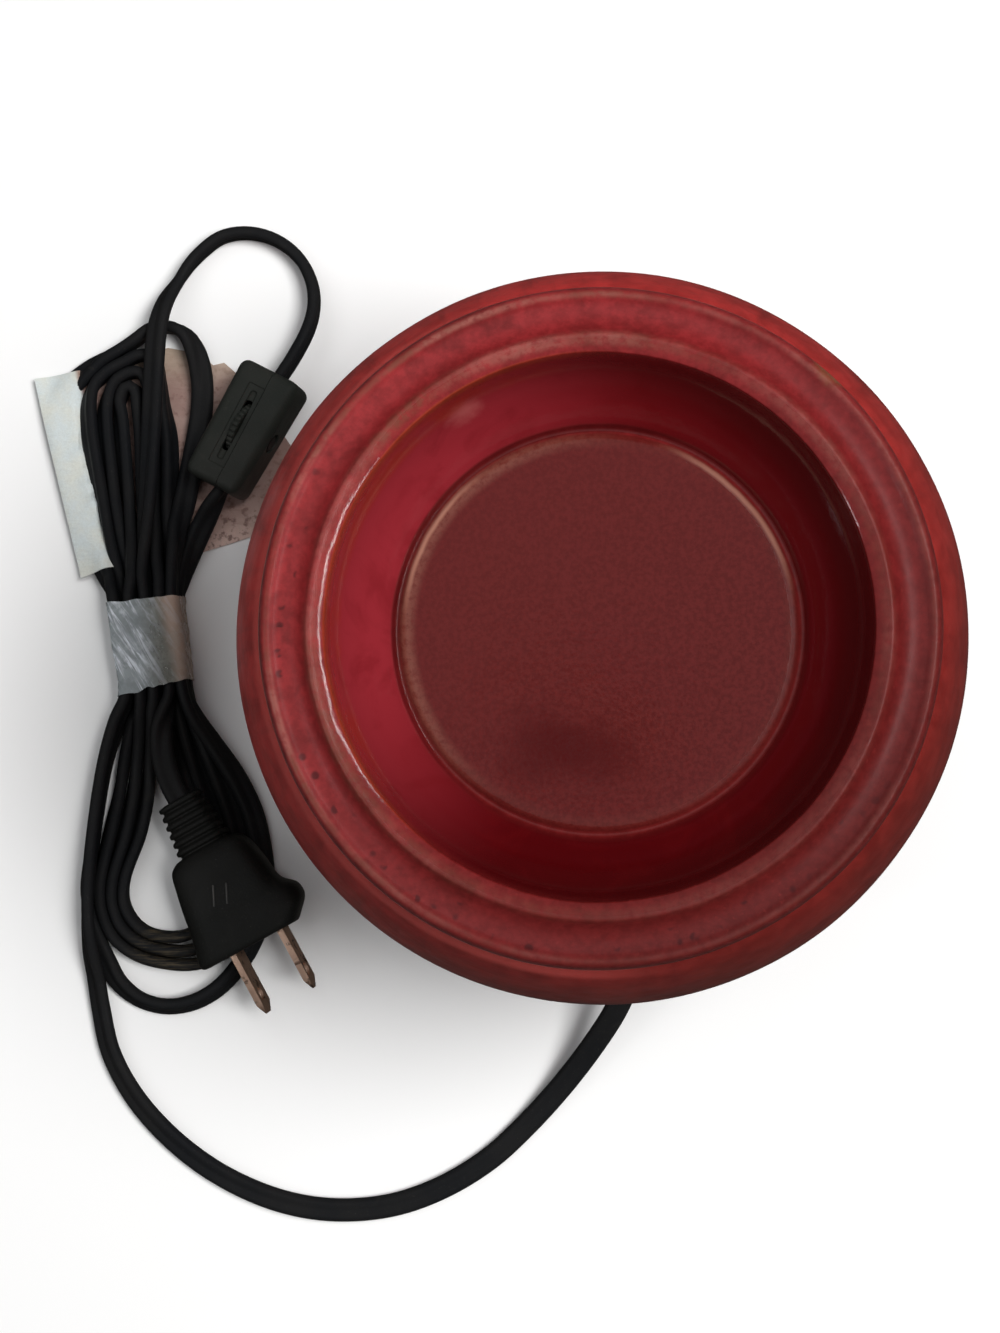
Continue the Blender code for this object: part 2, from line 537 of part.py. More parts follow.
# single turn from the top of the hank round to the switch
ux, uy = SW_AXIS
u_len = math.hypot(ux, uy)
ux, uy = ux / u_len, uy / u_len
U = Vector((ux, uy, 0.0))
W0 = Vector((-uy, ux, 0.0))               # across the case, level, towards +X
tilt = math.radians(SW_TILT)
W = W0 * math.cos(tilt) + Vector((0, 0, 1)) * math.sin(tilt)
N = Vector((0, 0, 1)) * math.cos(tilt) - W0 * math.sin(tilt)
SWC = Vector(SW_CENTRE)
sw_top = SWC - U * (SW_LEN / 2 + GAP) + W * SW_SPLIT
sw_low = SWC + U * (SW_LEN / 2 + GAP) + W * SW_SPLIT
tube("cord_top_loop", [(-108.2, 84.4, 3.6), (-105.0, 89.3, 3.2), (-101.8, 95.0, 3.2), (-98.0, 100.0, 3.2),
                       (-93.5, 103.3, 3.2), (-88.5, 104.3, 3.2), (-83.1, 103.7, 3.2), (-77.9, 101.0, 3.2),
                       (-73.6, 96.6, 3.4), (-71.0, 91.2, 3.8), (-70.6, 85.6, 4.6), (-72.0, 78.6, 6.2),
                       tuple(sw_top - U * 3.2 - Vector((0, 0, 0.3))), tuple(sw_top)], TUBE_R, m_cord, 6.5)
tube("cord_switch_tail", [tuple(sw_low), tuple(sw_low + U * 3.0 + Vector((0, 0, -0.1))), (-97.2, 32.6, 7.9)],
     TUBE_R, m_cord, 4.0)

# ---------------------------------------------------------------- inline switch
SWM = frame_matrix(SW_CENTRE, U, W, N)    # local X along the cord, Y across, Z up through the slot


def case_half(name, sign):
    """One half of the case, split on the middle plane."""
    mid = (SW_RIGHT - SW_LEFT) / 2
    side = SW_LEFT if sign < 0 else SW_RIGHT
    ob = box_mesh(name, (SW_LEN, SW_W, SW_H), (0, mid, 0), m_moulded, bevel=1.9, matrix=SWM)
    for tool in (
        box_mesh("cut_%s_split" % name, (SW_LEN + 4, SW_W + 8, SW_H + 4),
                 (0, SW_SPLIT - sign * ((SW_W + 8) / 2 - 0.15), 0), m_moulded, matrix=SWM),
        box_mesh("cut_%s_cavity" % name, (SW_LEN - 4.4, SW_W - 4.0, SW_H - 2.6), (0, mid, 0), m_moulded, matrix=SWM),
        box_mesh("cut_%s_slot" % name, (17.6, 2.3, 6.0), (0, 0, SW_H / 2), m_moulded, matrix=SWM),
        box_mesh("cut_%s_cord" % name, (SW_LEN + 4, 3.7, 6.2), (0, SW_SPLIT, 0), m_moulded, matrix=SWM),
        finish("cut_%s_pivot" % name, lathe_mesh([(0, 0), (1.35, 0), (1.35, 12.0), (0, 12.0)], 12), m_moulded, 0,
               SWM @ Matrix.Translation((0, 0, WHEEL_UP * MM)) @ Matrix.Rotation(math.radians(-90 * sign), 4, "X")),
        finish("cut_%s_recess" % name, lathe_mesh([(0, side - 0.8), (2.5, side - 0.8), (2.5, 12.0), (0, 12.0)], 16),
               m_moulded, 0,
               SWM @ Matrix.Translation((0, 0, WHEEL_UP * MM)) @ Matrix.Rotation(math.radians(-90 * sign), 4, "X")),
    ):
        cut(ob, tool)
    return ob


case_half("switch_case_left", -1)
case_half("switch_case_right", 1)

# thumbwheel: its origin is on its pivot, its local Z is the pivot axis
wheel_m = SWM @ Matrix.Translation((0, 0, WHEEL_UP * MM)) @ Matrix.Rotation(math.radians(-90), 4, "X")
teeth = 14
outline = []
for i in range(teeth):
    for f, r in ((0.0, WHEEL_R - 0.45), (0.25, WHEEL_R), (0.75, WHEEL_R)):
        a = 2 * math.pi * (i + f) / teeth
        outline.append((r * math.cos(a), r * math.sin(a)))
n_out = len(outline)
bore = [(WHEEL_BORE * math.cos(2 * math.pi * i / n_out), WHEEL_BORE * math.sin(2 * math.pi * i / n_out))
        for i in range(n_out)]
rings = [[(x, y, -WHEEL_T / 2) for x, y in outline], [(x, y, WHEEL_T / 2) for x, y in outline],
         [(x, y, WHEEL_T / 2) for x, y in bore], [(x, y, -WHEEL_T / 2) for x, y in bore]]
loft("switch_wheel", rings, m_moulded, closed=True, smooth=0, matrix=wheel_m)

lo, hi = -SW_LEFT, SW_RIGHT
lathe("switch_pivot", [(0, lo + 0.15), (1.7, lo + 0.15), (2.1, lo + 0.5), (PIVOT_R, lo + 0.5),
                       (PIVOT_R, hi - 0.5), (2.1, hi - 0.5), (1.7, hi - 0.15), (0, hi - 0.15)],
      m_screw, seg=12, smooth=30, matrix=wheel_m)
for nm, s in (("switch_contact_line", -1), ("switch_contact_load", 1)):
    x0, x1 = s * 7.2, s * 11.6
    prof = [(x0, -2.4), (x1, -2.4), (x1, -1.9), (x0 + s * 0.5, -1.9), (x0 + s * 0.5, 1.6), (x0, 1.6)]
    if s < 0:
        prof = prof[::-1]
    loft(nm, [[(x, -1.4, z) for x, z in prof], [(x, 1.4, z) for x, z in prof]], m_brass, smooth=0, matrix=SWM)

# ---------------------------------------------------------------- paper tag under the upper half of the hank
tag = [(-139.8, 68.7), (-128.4, 70.3), (-117.0, 73.4), (-107.0, 76.2), (-99.5, 74.8), (-93.0, 72.5), (-90.1, 70.0),
       (-84.2, 62.0), (-77.9, 54.1), (-72.8, 46.5), (-73.1, 35.4), (-83.2, 30.7), (-91.8, 28.0), (-98.1, 26.0),
       (-109.5, 23.8), (-120.6, 21.6), (-127.4, 19.4)]
prism("cord_tag", tag[::-1], 0.1, 0.45, m_paper)

# ---------------------------------------------------------------- plug
px, py = PLUG_AXIS
pl = math.hypot(px, py)
PX = Vector((px / pl, py / pl, 0.0))              # along the plug, towards the blades
PW0 = Vector((-PX.y, PX.x, 0.0))
roll = math.radians(PLUG_ROLL)
PW = PW0 * math.cos(roll) + Vector((0, 0, 1)) * math.sin(roll)
PN = Vector((0, 0, 1)) * math.cos(roll) - PW0 * math.sin(roll)
PM = frame_matrix(PLUG_FRONT, PX, PW, PN)

plug_rows = []      # x along the plug, left half width, right half width, half thickness
for k in range(6):                                # ribbed sleeve
    x = -PLUG_LEN + 2.2 * k
    grow = 0.22 * k
    plug_rows += [(x, 6.4 + grow, 4.5 + grow, 3.4 + grow * 0.7), (x + 1.3, 6.6 + grow, 4.7 + grow, 3.55 + grow * 0.7),
                  (x + 1.45, 5.9 + grow, 4.0 + grow, 2.95 + grow * 0.7),
                  (x + 2.1, 5.9 + grow, 4.0 + grow, 2.95 + grow * 0.7)]
plug_rows += [(-25.4, 9.6, 7.0, 4.6), (-24.0, 10.8, 8.6, 5.2), (-22.0, 11.5, 9.6, 5.6), (-16.0, 12.7, 10.9, 5.9),
              (-11.5, 13.4, 11.4, 6.1), (-9.6, 13.7, 12.8, 6.3), (-8.4, 13.9, 14.4, 6.4), (-5.4, 14.5, 15.0, 6.5),
              (-3.2, 15.2, 13.6, 6.4), (-1.4, 15.6, 11.8, 6.2), (-0.5, 15.2, 11.0, 6.0), (0.0, 14.4, 10.4, 5.5)]
PLUG_OFF = -0.95    # the sleeve's own middle, across the plug


def plug_ring(x, left, right, b, n=12, p=3.4):
    out = []
    for i in range(n):
        t = 2 * math.pi * (i + 0.5) / n
        c, s = math.cos(t), math.sin(t)
        a = right if c > 0 else left
        out.append((x, a * math.copysign(abs(c) ** (2 / p), c), b * math.copysign(abs(s) ** (2 / p), s)))
    return out


plug_body = loft("plug_body", [plug_ring(*row) for row in plug_rows], m_moulded, smooth=32, matrix=PM)
BLADES = (("plug_blade_wide", -1, 7.9), ("plug_blade_narrow", 1, 6.35))
for nm, s, w in BLADES:
    cut(plug_body, box_mesh("cut_%s" % nm, (14.0, 1.5 + 0.6, w + 0.6), (0.0, s * BLADE_GAP / 2, 0), m_moulded, matrix=PM))
    h = w / 2
    pts = [(-6.6, -h), (BLADE_OUT - 2.2, -h), (BLADE_OUT, -h + 2.0), (BLADE_OUT, h - 2.0), (BLADE_OUT - 2.2, h), (-6.6, h)]
    y = s * BLADE_GAP / 2
    b = loft(nm, [[(x, y - 0.75, z) for x, z in pts], [(x, y + 0.75, z) for x, z in pts]], m_blade, smooth=0, matrix=PM)
    cut(b, finish("cut_%s_hole" % nm, lathe_mesh([(0, -3), (1.6, -3), (1.6, 3), (0, 3)], 14), m_blade, 0,
                  PM @ Matrix.Translation(((BLADE_OUT - 4.8) * MM, y * MM, 0)) @ Matrix.Rotation(math.radians(90), 4, "X")))

plug_in = Vector(PLUG_FRONT) - PX * (PLUG_LEN + GAP) + PW * PLUG_OFF
tube("cord_plug_tail", [(-105.6, -12.4, 9.9), (-105.0, -17.4, 10.6), tuple(plug_in - PX * 6.5 - Vector((0, 0, 1.0))),
                        tuple(plug_in - PX * 2.0 - Vector((0, 0, 0.1))), tuple(plug_in)], TUBE_R, m_cord, 5.0)
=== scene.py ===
import math

import bmesh
import bpy
import numpy as np
from mathutils import Matrix, Vector, noise


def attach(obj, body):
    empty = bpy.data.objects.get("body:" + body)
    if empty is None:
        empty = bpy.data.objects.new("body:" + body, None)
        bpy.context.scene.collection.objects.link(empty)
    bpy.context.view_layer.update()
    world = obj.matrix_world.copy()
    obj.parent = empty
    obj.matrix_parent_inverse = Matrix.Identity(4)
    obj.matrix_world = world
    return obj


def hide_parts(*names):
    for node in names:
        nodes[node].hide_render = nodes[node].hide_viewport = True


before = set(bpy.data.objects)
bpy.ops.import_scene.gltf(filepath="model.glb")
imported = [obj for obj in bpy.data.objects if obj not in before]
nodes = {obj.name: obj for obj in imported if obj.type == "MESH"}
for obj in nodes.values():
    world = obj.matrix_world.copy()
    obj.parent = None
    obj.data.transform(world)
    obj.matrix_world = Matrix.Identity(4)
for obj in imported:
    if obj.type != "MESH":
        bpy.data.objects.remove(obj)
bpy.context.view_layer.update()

MM = 0.001
BASE, DISH, LAMP, WHEEL = "base", "dish", "lamp", "wheel"


# ---------------------------------------------------------------- small helpers
def mesh_object(name, verts, faces, mats=(), smooth=True, angle=None):
    """verts in millimetres."""
    me = bpy.data.meshes.new(name)
    me.from_pydata([(x * MM, y * MM, z * MM) for x, y, z in verts], [], faces)
    me.validate()
    bm = bmesh.new()
    bm.from_mesh(me)
    bmesh.ops.recalc_face_normals(bm, faces=bm.faces)
    if bm.calc_volume(signed=True) < 0:
        bmesh.ops.reverse_faces(bm, faces=bm.faces)
    bm.to_mesh(me)
    bm.free()
    for m in mats:
        me.materials.append(m)
    ob = bpy.data.objects.new(name, me)
    bpy.context.scene.collection.objects.link(ob)
    shade(ob, smooth, angle)
    return ob


def shade(ob, smooth=True, angle=None):
    me = ob.data
    me.polygons.foreach_set("use_smooth", [smooth] * len(me.polygons))
    if smooth and angle is not None:
        limit = math.radians(angle)
        bm = bmesh.new()
        bm.from_mesh(me)
        for e in bm.edges:
            e.smooth = len(e.link_faces) == 2 and e.calc_face_angle(0.0) < limit
        bm.to_mesh(me)
        bm.free()
    me.update()


def catmull_open(pts, sub):
    p = [np.array(q, float) for q in pts]
    p = [2 * p[0] - p[1]] + p + [2 * p[-1] - p[-2]]
    out = []
    for k in range(1, len(p) - 2):
        a, b, c, d = p[k - 1], p[k], p[k + 1], p[k + 2]
        for i in range(sub):
            t = i / sub
            out.append(0.5 * ((2 * b) + (c - a) * t + (2 * a - 5 * b + 4 * c - d) * t * t
                              + (3 * b - a - 3 * c + d) * t ** 3))
    out.append(p[-2])
    return [tuple(q) for q in out]


def lathe(name, profile, mats, seg=192, angle=None, wobble=None):
    """Turn a closed profile of (r, z) round Z; the ends may sit on the axis."""
    verts, rings = [], []
    for r, z in profile:
        if r <= 1e-6:
            rings.append([len(verts)])
            verts.append((0.0, 0.0, z))
        else:
            ring = []
            for i in range(seg):
                a = 2 * math.pi * i / seg
                rr, zz = (r, z) if wobble is None else wobble(r, z, a)
                ring.append(len(verts))
                verts.append((rr * math.cos(a), rr * math.sin(a), zz))
            rings.append(ring)
    closed = len(rings[0]) > 1 and len(rings[-1]) > 1
    faces = []
    pairs = list(zip(rings, rings[1:])) + ([(rings[-1], rings[0])] if closed else [])
    for a, b in pairs:
        for i in range(seg):
            j = (i + 1) % seg
            if len(a) == 1 and len(b) == 1:
                continue
            if len(a) == 1:
                faces.append((a[0], b[j], b[i]))
            elif len(b) == 1:
                faces.append((a[i], a[j], b[0]))
            else:
                faces.append((a[i], a[j], b[j], b[i]))
    return mesh_object(name, verts, faces, mats, True, angle)


def loft(name, rings, mats, caps=True, closed=False, angle=None, matrix=None):
    verts, faces = [], []
    n = len(rings[0])
    for ring in rings:
        for p in ring:
            if matrix is not None:
                q = matrix @ Vector((p[0] * MM, p[1] * MM, p[2] * MM))
                p = (q.x / MM, q.y / MM, q.z / MM)
            verts.append(tuple(p))
    m = len(rings)
    for k in range(m if closed else m - 1):
        a, b = k * n, ((k + 1) % m) * n
        for i in range(n):
            j = (i + 1) % n
            faces.append((a + i, a + j, b + j, b + i))
    if caps and not closed:
        for base, flip in ((0, True), ((m - 1) * n, False)):
            c = len(verts)
            ring = np.array(verts[base:base + n])
            verts.append(tuple(ring.mean(0)))
            for i in range(n):
                j = (i + 1) % n
                faces.append((c, base + j, base + i) if flip else (c, base + i, base + j))
    return mesh_object(name, verts, faces, mats, True, angle)


def frame_matrix(origin, ex, ey, ez):
    m = Matrix((
        (ex[0], ey[0], ez[0], origin[0] * MM), (ex[1], ey[1], ez[1], origin[1] * MM),
        (ex[2], ey[2], ez[2], origin[2] * MM), (0, 0, 0, 1)))
    return m


def rounded_box(name, size, centre, r, mats, matrix, seg=5):
    bm = bmesh.new()
    bmesh.ops.create_cube(bm, size=1.0)
    bmesh.ops.scale(bm, vec=Vector(size) * MM, verts=bm.verts)
    if r > 0:
        bmesh.ops.bevel(bm, geom=list(bm.edges), offset=r * MM, segments=seg, profile=0.5, affect="EDGES")
    bmesh.ops.translate(bm, vec=Vector(centre) * MM, verts=bm.verts)
    bm.transform(matrix)
    me = bpy.data.meshes.new(name)
    bm.to_mesh(me)
    bm.free()
    for m in mats:
        me.materials.append(m)
    ob = bpy.data.objects.new(name, me)
    bpy.context.scene.collection.objects.link(ob)
    return ob


def boolean(ob, tools, operation="DIFFERENCE"):
    for tool in tools:
        mod = ob.modifiers.new("cut", "BOOLEAN")
        mod.operation = operation
        mod.solver = "EXACT"
        mod.object = tool
    apply_modifiers(ob)
    for tool in tools:
        me = tool.data
        bpy.data.objects.remove(tool, do_unlink=True)
        bpy.data.meshes.remove(me)
    return ob


def apply_modifiers(ob):
    bpy.context.view_layer.update()
    deps = bpy.context.evaluated_depsgraph_get()
    me = bpy.data.meshes.new_from_object(ob.evaluated_get(deps))
    old = ob.data
    ob.modifiers.clear()
    ob.data = me
    bpy.data.meshes.remove(old)


def tube_mesh(name, pts, radius, mats, sides=14):
    """Round tube along points in millimetres, closed with flat caps."""
    pts = [Vector(p) for p in pts]
    rings = []
    n0 = None
    for k, p in enumerate(pts):
        t = (pts[min(k + 1, len(pts) - 1)] - pts[max(k - 1, 0)]).normalized()
        if n0 is None:
            n0 = t.orthogonal().normalized()
        n0 = (n0 - t * n0.dot(t)).normalized()
        b = t.cross(n0)
        r = radius(k) if callable(radius) else radius
        rings.append([tuple(p + (n0 * math.cos(2 * math.pi * i / sides) + b * math.sin(2 * math.pi * i / sides)) * r)
                      for i in range(sides)])
    return loft(name, rings, mats, angle=50)


# ---------------------------------------------------------------- node graphs
class G:
    """A short way to write a material's nodes."""

    def __init__(self, name):
        self.m = bpy.data.materials.new(name)
        self.m.use_nodes = True
        self.nt = self.m.node_tree
        self.nt.nodes.clear()
        self.out = self.nt.nodes.new("ShaderNodeOutputMaterial")
        self.b = self.nt.nodes.new("ShaderNodeBsdfPrincipled")
        self.nt.links.new(self.b.outputs[0], self.out.inputs["Surface"])
        self._obj = None

    def put(self, socket, value):
        if isinstance(value, bpy.types.NodeSocket):
            self.nt.links.new(value, socket)
        elif isinstance(value, (tuple, list)) and socket.type == "RGBA" and len(value) == 3:
            socket.default_value = (*value, 1.0)
        else:
            socket.default_value = value

    def set(self, **kw):
        names = {"color": "Base Color", "rough": "Roughness", "metal": "Metallic", "ior": "IOR", "alpha": "Alpha",
                 "normal": "Normal", "coat": "Coat Weight", "coat_rough": "Coat Roughness", "spec": "Specular IOR Level",
                 "trans": "Transmission Weight", "sss": "Subsurface Weight", "sss_scale": "Subsurface Scale",
                 "sss_radius": "Subsurface Radius", "sheen": "Sheen Weight", "aniso": "Anisotropic", "tint": "Specular Tint"}
        for k, v in kw.items():
            self.put(self.b.inputs[names[k]], v)
        return self

    @property
    def obj(self):
        if self._obj is None:
            self._obj = self.nt.nodes.new("ShaderNodeTexCoord").outputs["Object"]
        return self._obj

    def node(self, kind, **attrs):
        n = self.nt.nodes.new(kind)
        for k, v in attrs.items():
            setattr(n, k, v)
        return n

    def math(self, op, a, b=None, clamp=False):
        n = self.node("ShaderNodeMath", operation=op, use_clamp=clamp)
        self.put(n.inputs[0], a)
        if b is not None:
            self.put(n.inputs[1], b)
        return n.outputs[0]

    def vmath(self, op, a, b=None):
        n = self.node("ShaderNodeVectorMath", operation=op)
        self.put(n.inputs[0], a)
        if b is not None:
            if op == "SCALE":
                self.put(n.inputs["Scale"], b)
            else:
                self.put(n.inputs[1], b)
        return n.outputs["Value"] if op in ("LENGTH", "DOT_PRODUCT", "DISTANCE") else n.outputs["Vector"]

    def sep(self, v):
        n = self.node("ShaderNodeSeparateXYZ")
        self.put(n.inputs[0], v)
        return n.outputs

    def comb(self, x, y, z):
        n = self.node("ShaderNodeCombineXYZ")
        for i, v in enumerate((x, y, z)):
            self.put(n.inputs[i], v)
        return n.outputs[0]

    def noise(self, scale, detail=3.0, rough=0.5, vec=None, distort=0.0, out="Fac"):
        n = self.node("ShaderNodeTexNoise")
        self.put(n.inputs["Vector"], self.obj if vec is None else vec)
        n.inputs["Scale"].default_value = scale
        n.inputs["Detail"].default_value = detail
        n.inputs["Roughness"].default_value = rough
        n.inputs["Distortion"].default_value = distort
        return n.outputs[out]

    def voronoi(self, scale, vec=None, feature="F1", randomness=1.0, out="Distance"):
        n = self.node("ShaderNodeTexVoronoi", feature=feature)
        self.put(n.inputs["Vector"], self.obj if vec is None else vec)
        n.inputs["Scale"].default_value = scale
        n.inputs["Randomness"].default_value = randomness
        return n.outputs[out]

    def range(self, v, a, b, c=0.0, d=1.0, kind="SMOOTHSTEP"):
        n = self.node("ShaderNodeMapRange", interpolation_type=kind, clamp=True) if kind == "LINEAR" else \
            self.node("ShaderNodeMapRange", interpolation_type=kind)
        for i, x in enumerate((v, a, b, c, d)):
            self.put(n.inputs[i], x)
        return n.outputs[0]

    def mix(self, f, a, b, blend="MIX"):
        n = self.node("ShaderNodeMix", data_type="RGBA", blend_type=blend, clamp_factor=True)
        self.put(n.inputs[0], f)
        self.put(n.inputs[6], a)
        self.put(n.inputs[7], b)
        return n.outputs[2]

    def lerp(self, f, a, b):
        n = self.node("ShaderNodeMix", data_type="FLOAT", clamp_factor=True)
        self.put(n.inputs[0], f)
        self.put(n.inputs[2], a)
        self.put(n.inputs[3], b)
        return n.outputs[0]

    def bump(self, height, strength=0.2, distance=0.001, normal=None):
        n = self.node("ShaderNodeBump")
        n.inputs["Strength"].default_value = strength
        n.inputs["Distance"].default_value = distance
        self.put(n.inputs["Height"], height)
        if normal is not None:
            self.put(n.inputs["Normal"], normal)
        return n.outputs[0]

    def radius(self):
        """Distance from the Z axis, in millimetres."""
        x, y, _ = self.sep(self.obj)
        return self.math("MULTIPLY", self.vmath("LENGTH", self.comb(x, y, 0.0)), 1000.0)

    def height(self):
        return self.math("MULTIPLY", self.sep(self.obj)[2], 1000.0)

    def band(self, v, centre, half, soft):
        """1 where v is within half of centre, fading over soft."""
        d = self.math("ABSOLUTE", self.math("SUBTRACT", v, centre))
        return self.range(d, half, half + soft, 1.0, 0.0)


# ---------------------------------------------------------------- materials
def glaze(name, dish):
    """Oxblood glaze: deep red where it pools, thin and brownish where it runs off a crest, with painted highlights on
    the crests and painted light and shade across the piece.
    """
    g = G(name)
    r, z = g.radius(), g.height()
    cloud = g.noise(26.0, 4.0, 0.55)
    mottle = g.noise(170.0, 4.0, 0.6, distort=0.4)
    fine = g.noise(900.0, 2.0, 0.6)
    # brighter crimson towards one side, browner and darker towards the other: partly the glaze's own drift in the kiln,
    # partly painted light falling off across the piece
    drift_and_painted_light = g.vmath("DOT_PRODUCT", g.obj, (-0.68, 0.73, 0.0))
    drift_and_painted_light = g.range(g.math("ADD", g.math("MULTIPLY", drift_and_painted_light, 1000.0), g.math("MULTIPLY", g.math("SUBTRACT", cloud, 0.5), 30.0)), -66.0, 66.0, kind="LINEAR")
    red = g.mix(drift_and_painted_light, (0.074, 0.0052, 0.0046), (0.246, 0.0160, 0.0185))
    # painted light: brighter glaze colour where the joint between the dish and the pot falls in shade, and on the lit
    # side
    joint_painted_light = g.math("MULTIPLY", g.vmath("DOT_PRODUCT", g.obj, (-0.8, -0.6, 0.0)), 1000.0)
    joint_painted_light = g.math("MAXIMUM", g.range(drift_and_painted_light, 0.25, 0.65), g.range(joint_painted_light, 22.0, 50.0))
    red = g.mix(g.range(mottle, 0.42, 0.70, 0.0, 0.40), red, (0.082, 0.0060, 0.0058))
    red = g.mix(g.math("MULTIPLY", g.range(g.noise(75.0, 3.0, 0.65, distort=0.8), 0.52, 0.66), 0.34), red, (0.078, 0.0060, 0.0056))
    red = g.mix(g.math("MULTIPLY", g.range(fine, 0.60, 0.78), 0.18), red, (0.26, 0.030, 0.026))
    red = g.mix(1.0, red, g.mix(g.range(g.noise(520.0, 4.0, 0.72), 0.34, 0.66), (0.84, 0.78, 0.78), (1.13, 1.20, 1.20)), "MULTIPLY")
    wander = g.math("MULTIPLY", g.math("SUBTRACT", g.noise(60.0, 3.0, 0.6), 0.5), 1.6)
    rr = g.math("ADD", r, wander)
    if dish:
        near = g.math("ADD", r, g.math("MULTIPLY", wander, 0.25))
        # the crests pale where the glaze runs thin, with a painted highlight laid over them that is stronger on the lit
        # side
        crest = g.math("MAXIMUM", g.math("MULTIPLY", g.band(g.math("ADD", r, g.math("MULTIPLY", wander, 0.5)), 52.3, 0.45, 1.5), 0.85), g.band(near, 60.6, 0.16, 0.85))
        low = g.range(z, 137.0, 140.2)
        crest = g.math("MULTIPLY", crest, low)
        patch = g.range(g.noise(38.0, 3.0, 0.5), 0.30, 0.62, 0.35, 1.0)
        crest = g.math("MULTIPLY", crest, g.math("MULTIPLY", patch, g.range(g.noise(640.0, 3.0, 0.7), 0.32, 0.60, 0.30, 1.0)))
        tone = g.mix(g.range(g.noise(45.0, 3.0, 0.6), 0.40, 0.62), (0.150, 0.052, 0.030), (0.330, 0.110, 0.088))
        tone = g.mix(drift_and_painted_light, g.mix(0.62, tone, (0.070, 0.012, 0.008)), tone)
        col = g.mix(g.math("MULTIPLY", crest, g.range(drift_and_painted_light, 0.1, 0.8, 0.26, 0.72)), red, tone)
        # the bowl's wall, where the glaze lies thicker and clearer; painted light and shade: bright crimson on the wall
        # that faces the lamp, darker on the far and lower walls
        wall = g.math("MULTIPLY", g.range(r, 49.8, 48.9), g.range(z, 123.3, 124.6))
        lit_side = g.math("DIVIDE", g.math("MULTIPLY", g.vmath("DOT_PRODUCT", g.obj, (-0.94, 0.34, 0.0)), 1000.0), 46.0)
        upper = g.range(g.math("MULTIPLY", g.sep(g.obj)[1], 1000.0), -44.0, 44.0, kind="LINEAR")
        deep = g.mix(upper, (0.060, 0.0012, 0.0022), (0.125, 0.0050, 0.0070))
        wall_painted_light = g.mix(g.range(lit_side, 0.0, 1.0), deep, (0.245, 0.0180, 0.0260))
        wall_painted_light = g.mix(g.math("MULTIPLY", g.range(g.noise(70.0, 4.0, 0.6, distort=1.0), 0.46, 0.70), 0.34), wall_painted_light, (0.105, 0.0030, 0.0040))
        # painted highlight: a soft pinkish haze spot on the left wall
        spot = g.vmath("DISTANCE", g.obj, (-0.0251, 0.0407, 0.135))
        spot = g.math("ADD", spot, g.math("MULTIPLY", g.math("SUBTRACT", g.noise(260.0, 3.0, 0.6), 0.5), 0.004))
        wall_painted_light = g.mix(g.math("MULTIPLY", g.range(spot, 0.0048, 0.0006), 0.42), wall_painted_light, (0.52, 0.15, 0.14))
        # painted highlight: an orange-brown fringe on the lit wall just inside the lip's highlight arc
        painted_fringe = g.math("MULTIPLY", g.band(r, 49.0, 0.5, 1.1), g.range(lit_side, 0.35, 0.9))
        painted_fringe = g.math("MULTIPLY", painted_fringe, g.range(g.noise(85.0, 3.0, 0.6), 0.40, 0.62, 0.20, 1.0))
        wall_painted_light = g.mix(g.math("MULTIPLY", painted_fringe, 0.55), wall_painted_light, (0.270, 0.0180, 0.0050))
        col = g.mix(wall, col, wall_painted_light)
        # painted highlight: a thin orange line on the lit side where the bowl's wall turns into the lip
        line = g.math("MULTIPLY", g.band(g.math("ADD", r, g.math("MULTIPLY", wander, 0.15)), 49.75, 0.16, 0.36),
                      g.math("MULTIPLY", g.range(z, 140.0, 143.0), g.range(lit_side, 0.2, 0.8)))
        col = g.mix(g.math("MULTIPLY", line, 0.38), col, (0.30, 0.050, 0.010))
        # the floor of the bowl, a little duller and browner
        floor = g.math("MULTIPLY", g.range(r, 38.3, 37.2), g.range(z, 122.0, 123.2))
        grain = g.noise(1100.0, 3.0, 0.65)
        fl = g.mix(g.range(grain, 0.34, 0.66), (0.056, 0.0028, 0.0030), (0.086, 0.0070, 0.0066))
        fl = g.mix(g.math("MULTIPLY", drift_and_painted_light, 0.6), fl, (0.108, 0.0065, 0.0060))
        col = g.mix(floor, col, fl)
        # painted reflection: a soft dark patch on the floor of the bowl, where a dark shape overhead reflects
        sx, sy, _ = g.sep(g.obj)
        ex = g.math("DIVIDE", g.math("ADD", g.math("MULTIPLY", sx, 1000.0), 5.5), 14.5)
        ey = g.math("DIVIDE", g.math("ADD", g.math("ADD", g.math("MULTIPLY", sy, 1000.0), 22.8), g.math("MULTIPLY", sx, 60.0)), 7.6)
        spread = g.math("ADD", g.math("SQRT", g.math("ADD", g.math("MULTIPLY", ex, ex), g.math("MULTIPLY", ey, ey))), g.math("MULTIPLY", g.math("SUBTRACT", g.noise(120.0, 4.0, 0.65, distort=0.6), 0.5), 1.5))
        painted_dark_reflection = g.math("MULTIPLY", g.range(spread, 1.35, 0.20), floor)
        col = g.mix(g.math("MULTIPLY", painted_dark_reflection, 0.92), col, (0.052, 0.0002, 0.0004))
        # painted highlight: a pale cream rim round the floor disc, strongest on the lit side
        ring = g.math("MULTIPLY", g.band(near, 36.7, 0.25, 2.2), g.range(z, 122.0, 123.2))
        ring = g.math("MULTIPLY", ring, g.range(g.noise(700.0, 3.0, 0.7), 0.30, 0.60, 0.45, 1.0))
        col = g.mix(g.math("MULTIPLY", ring, g.range(lit_side, 0.10, 0.70, 0.04, 0.46)), col, (0.240, 0.095, 0.066))
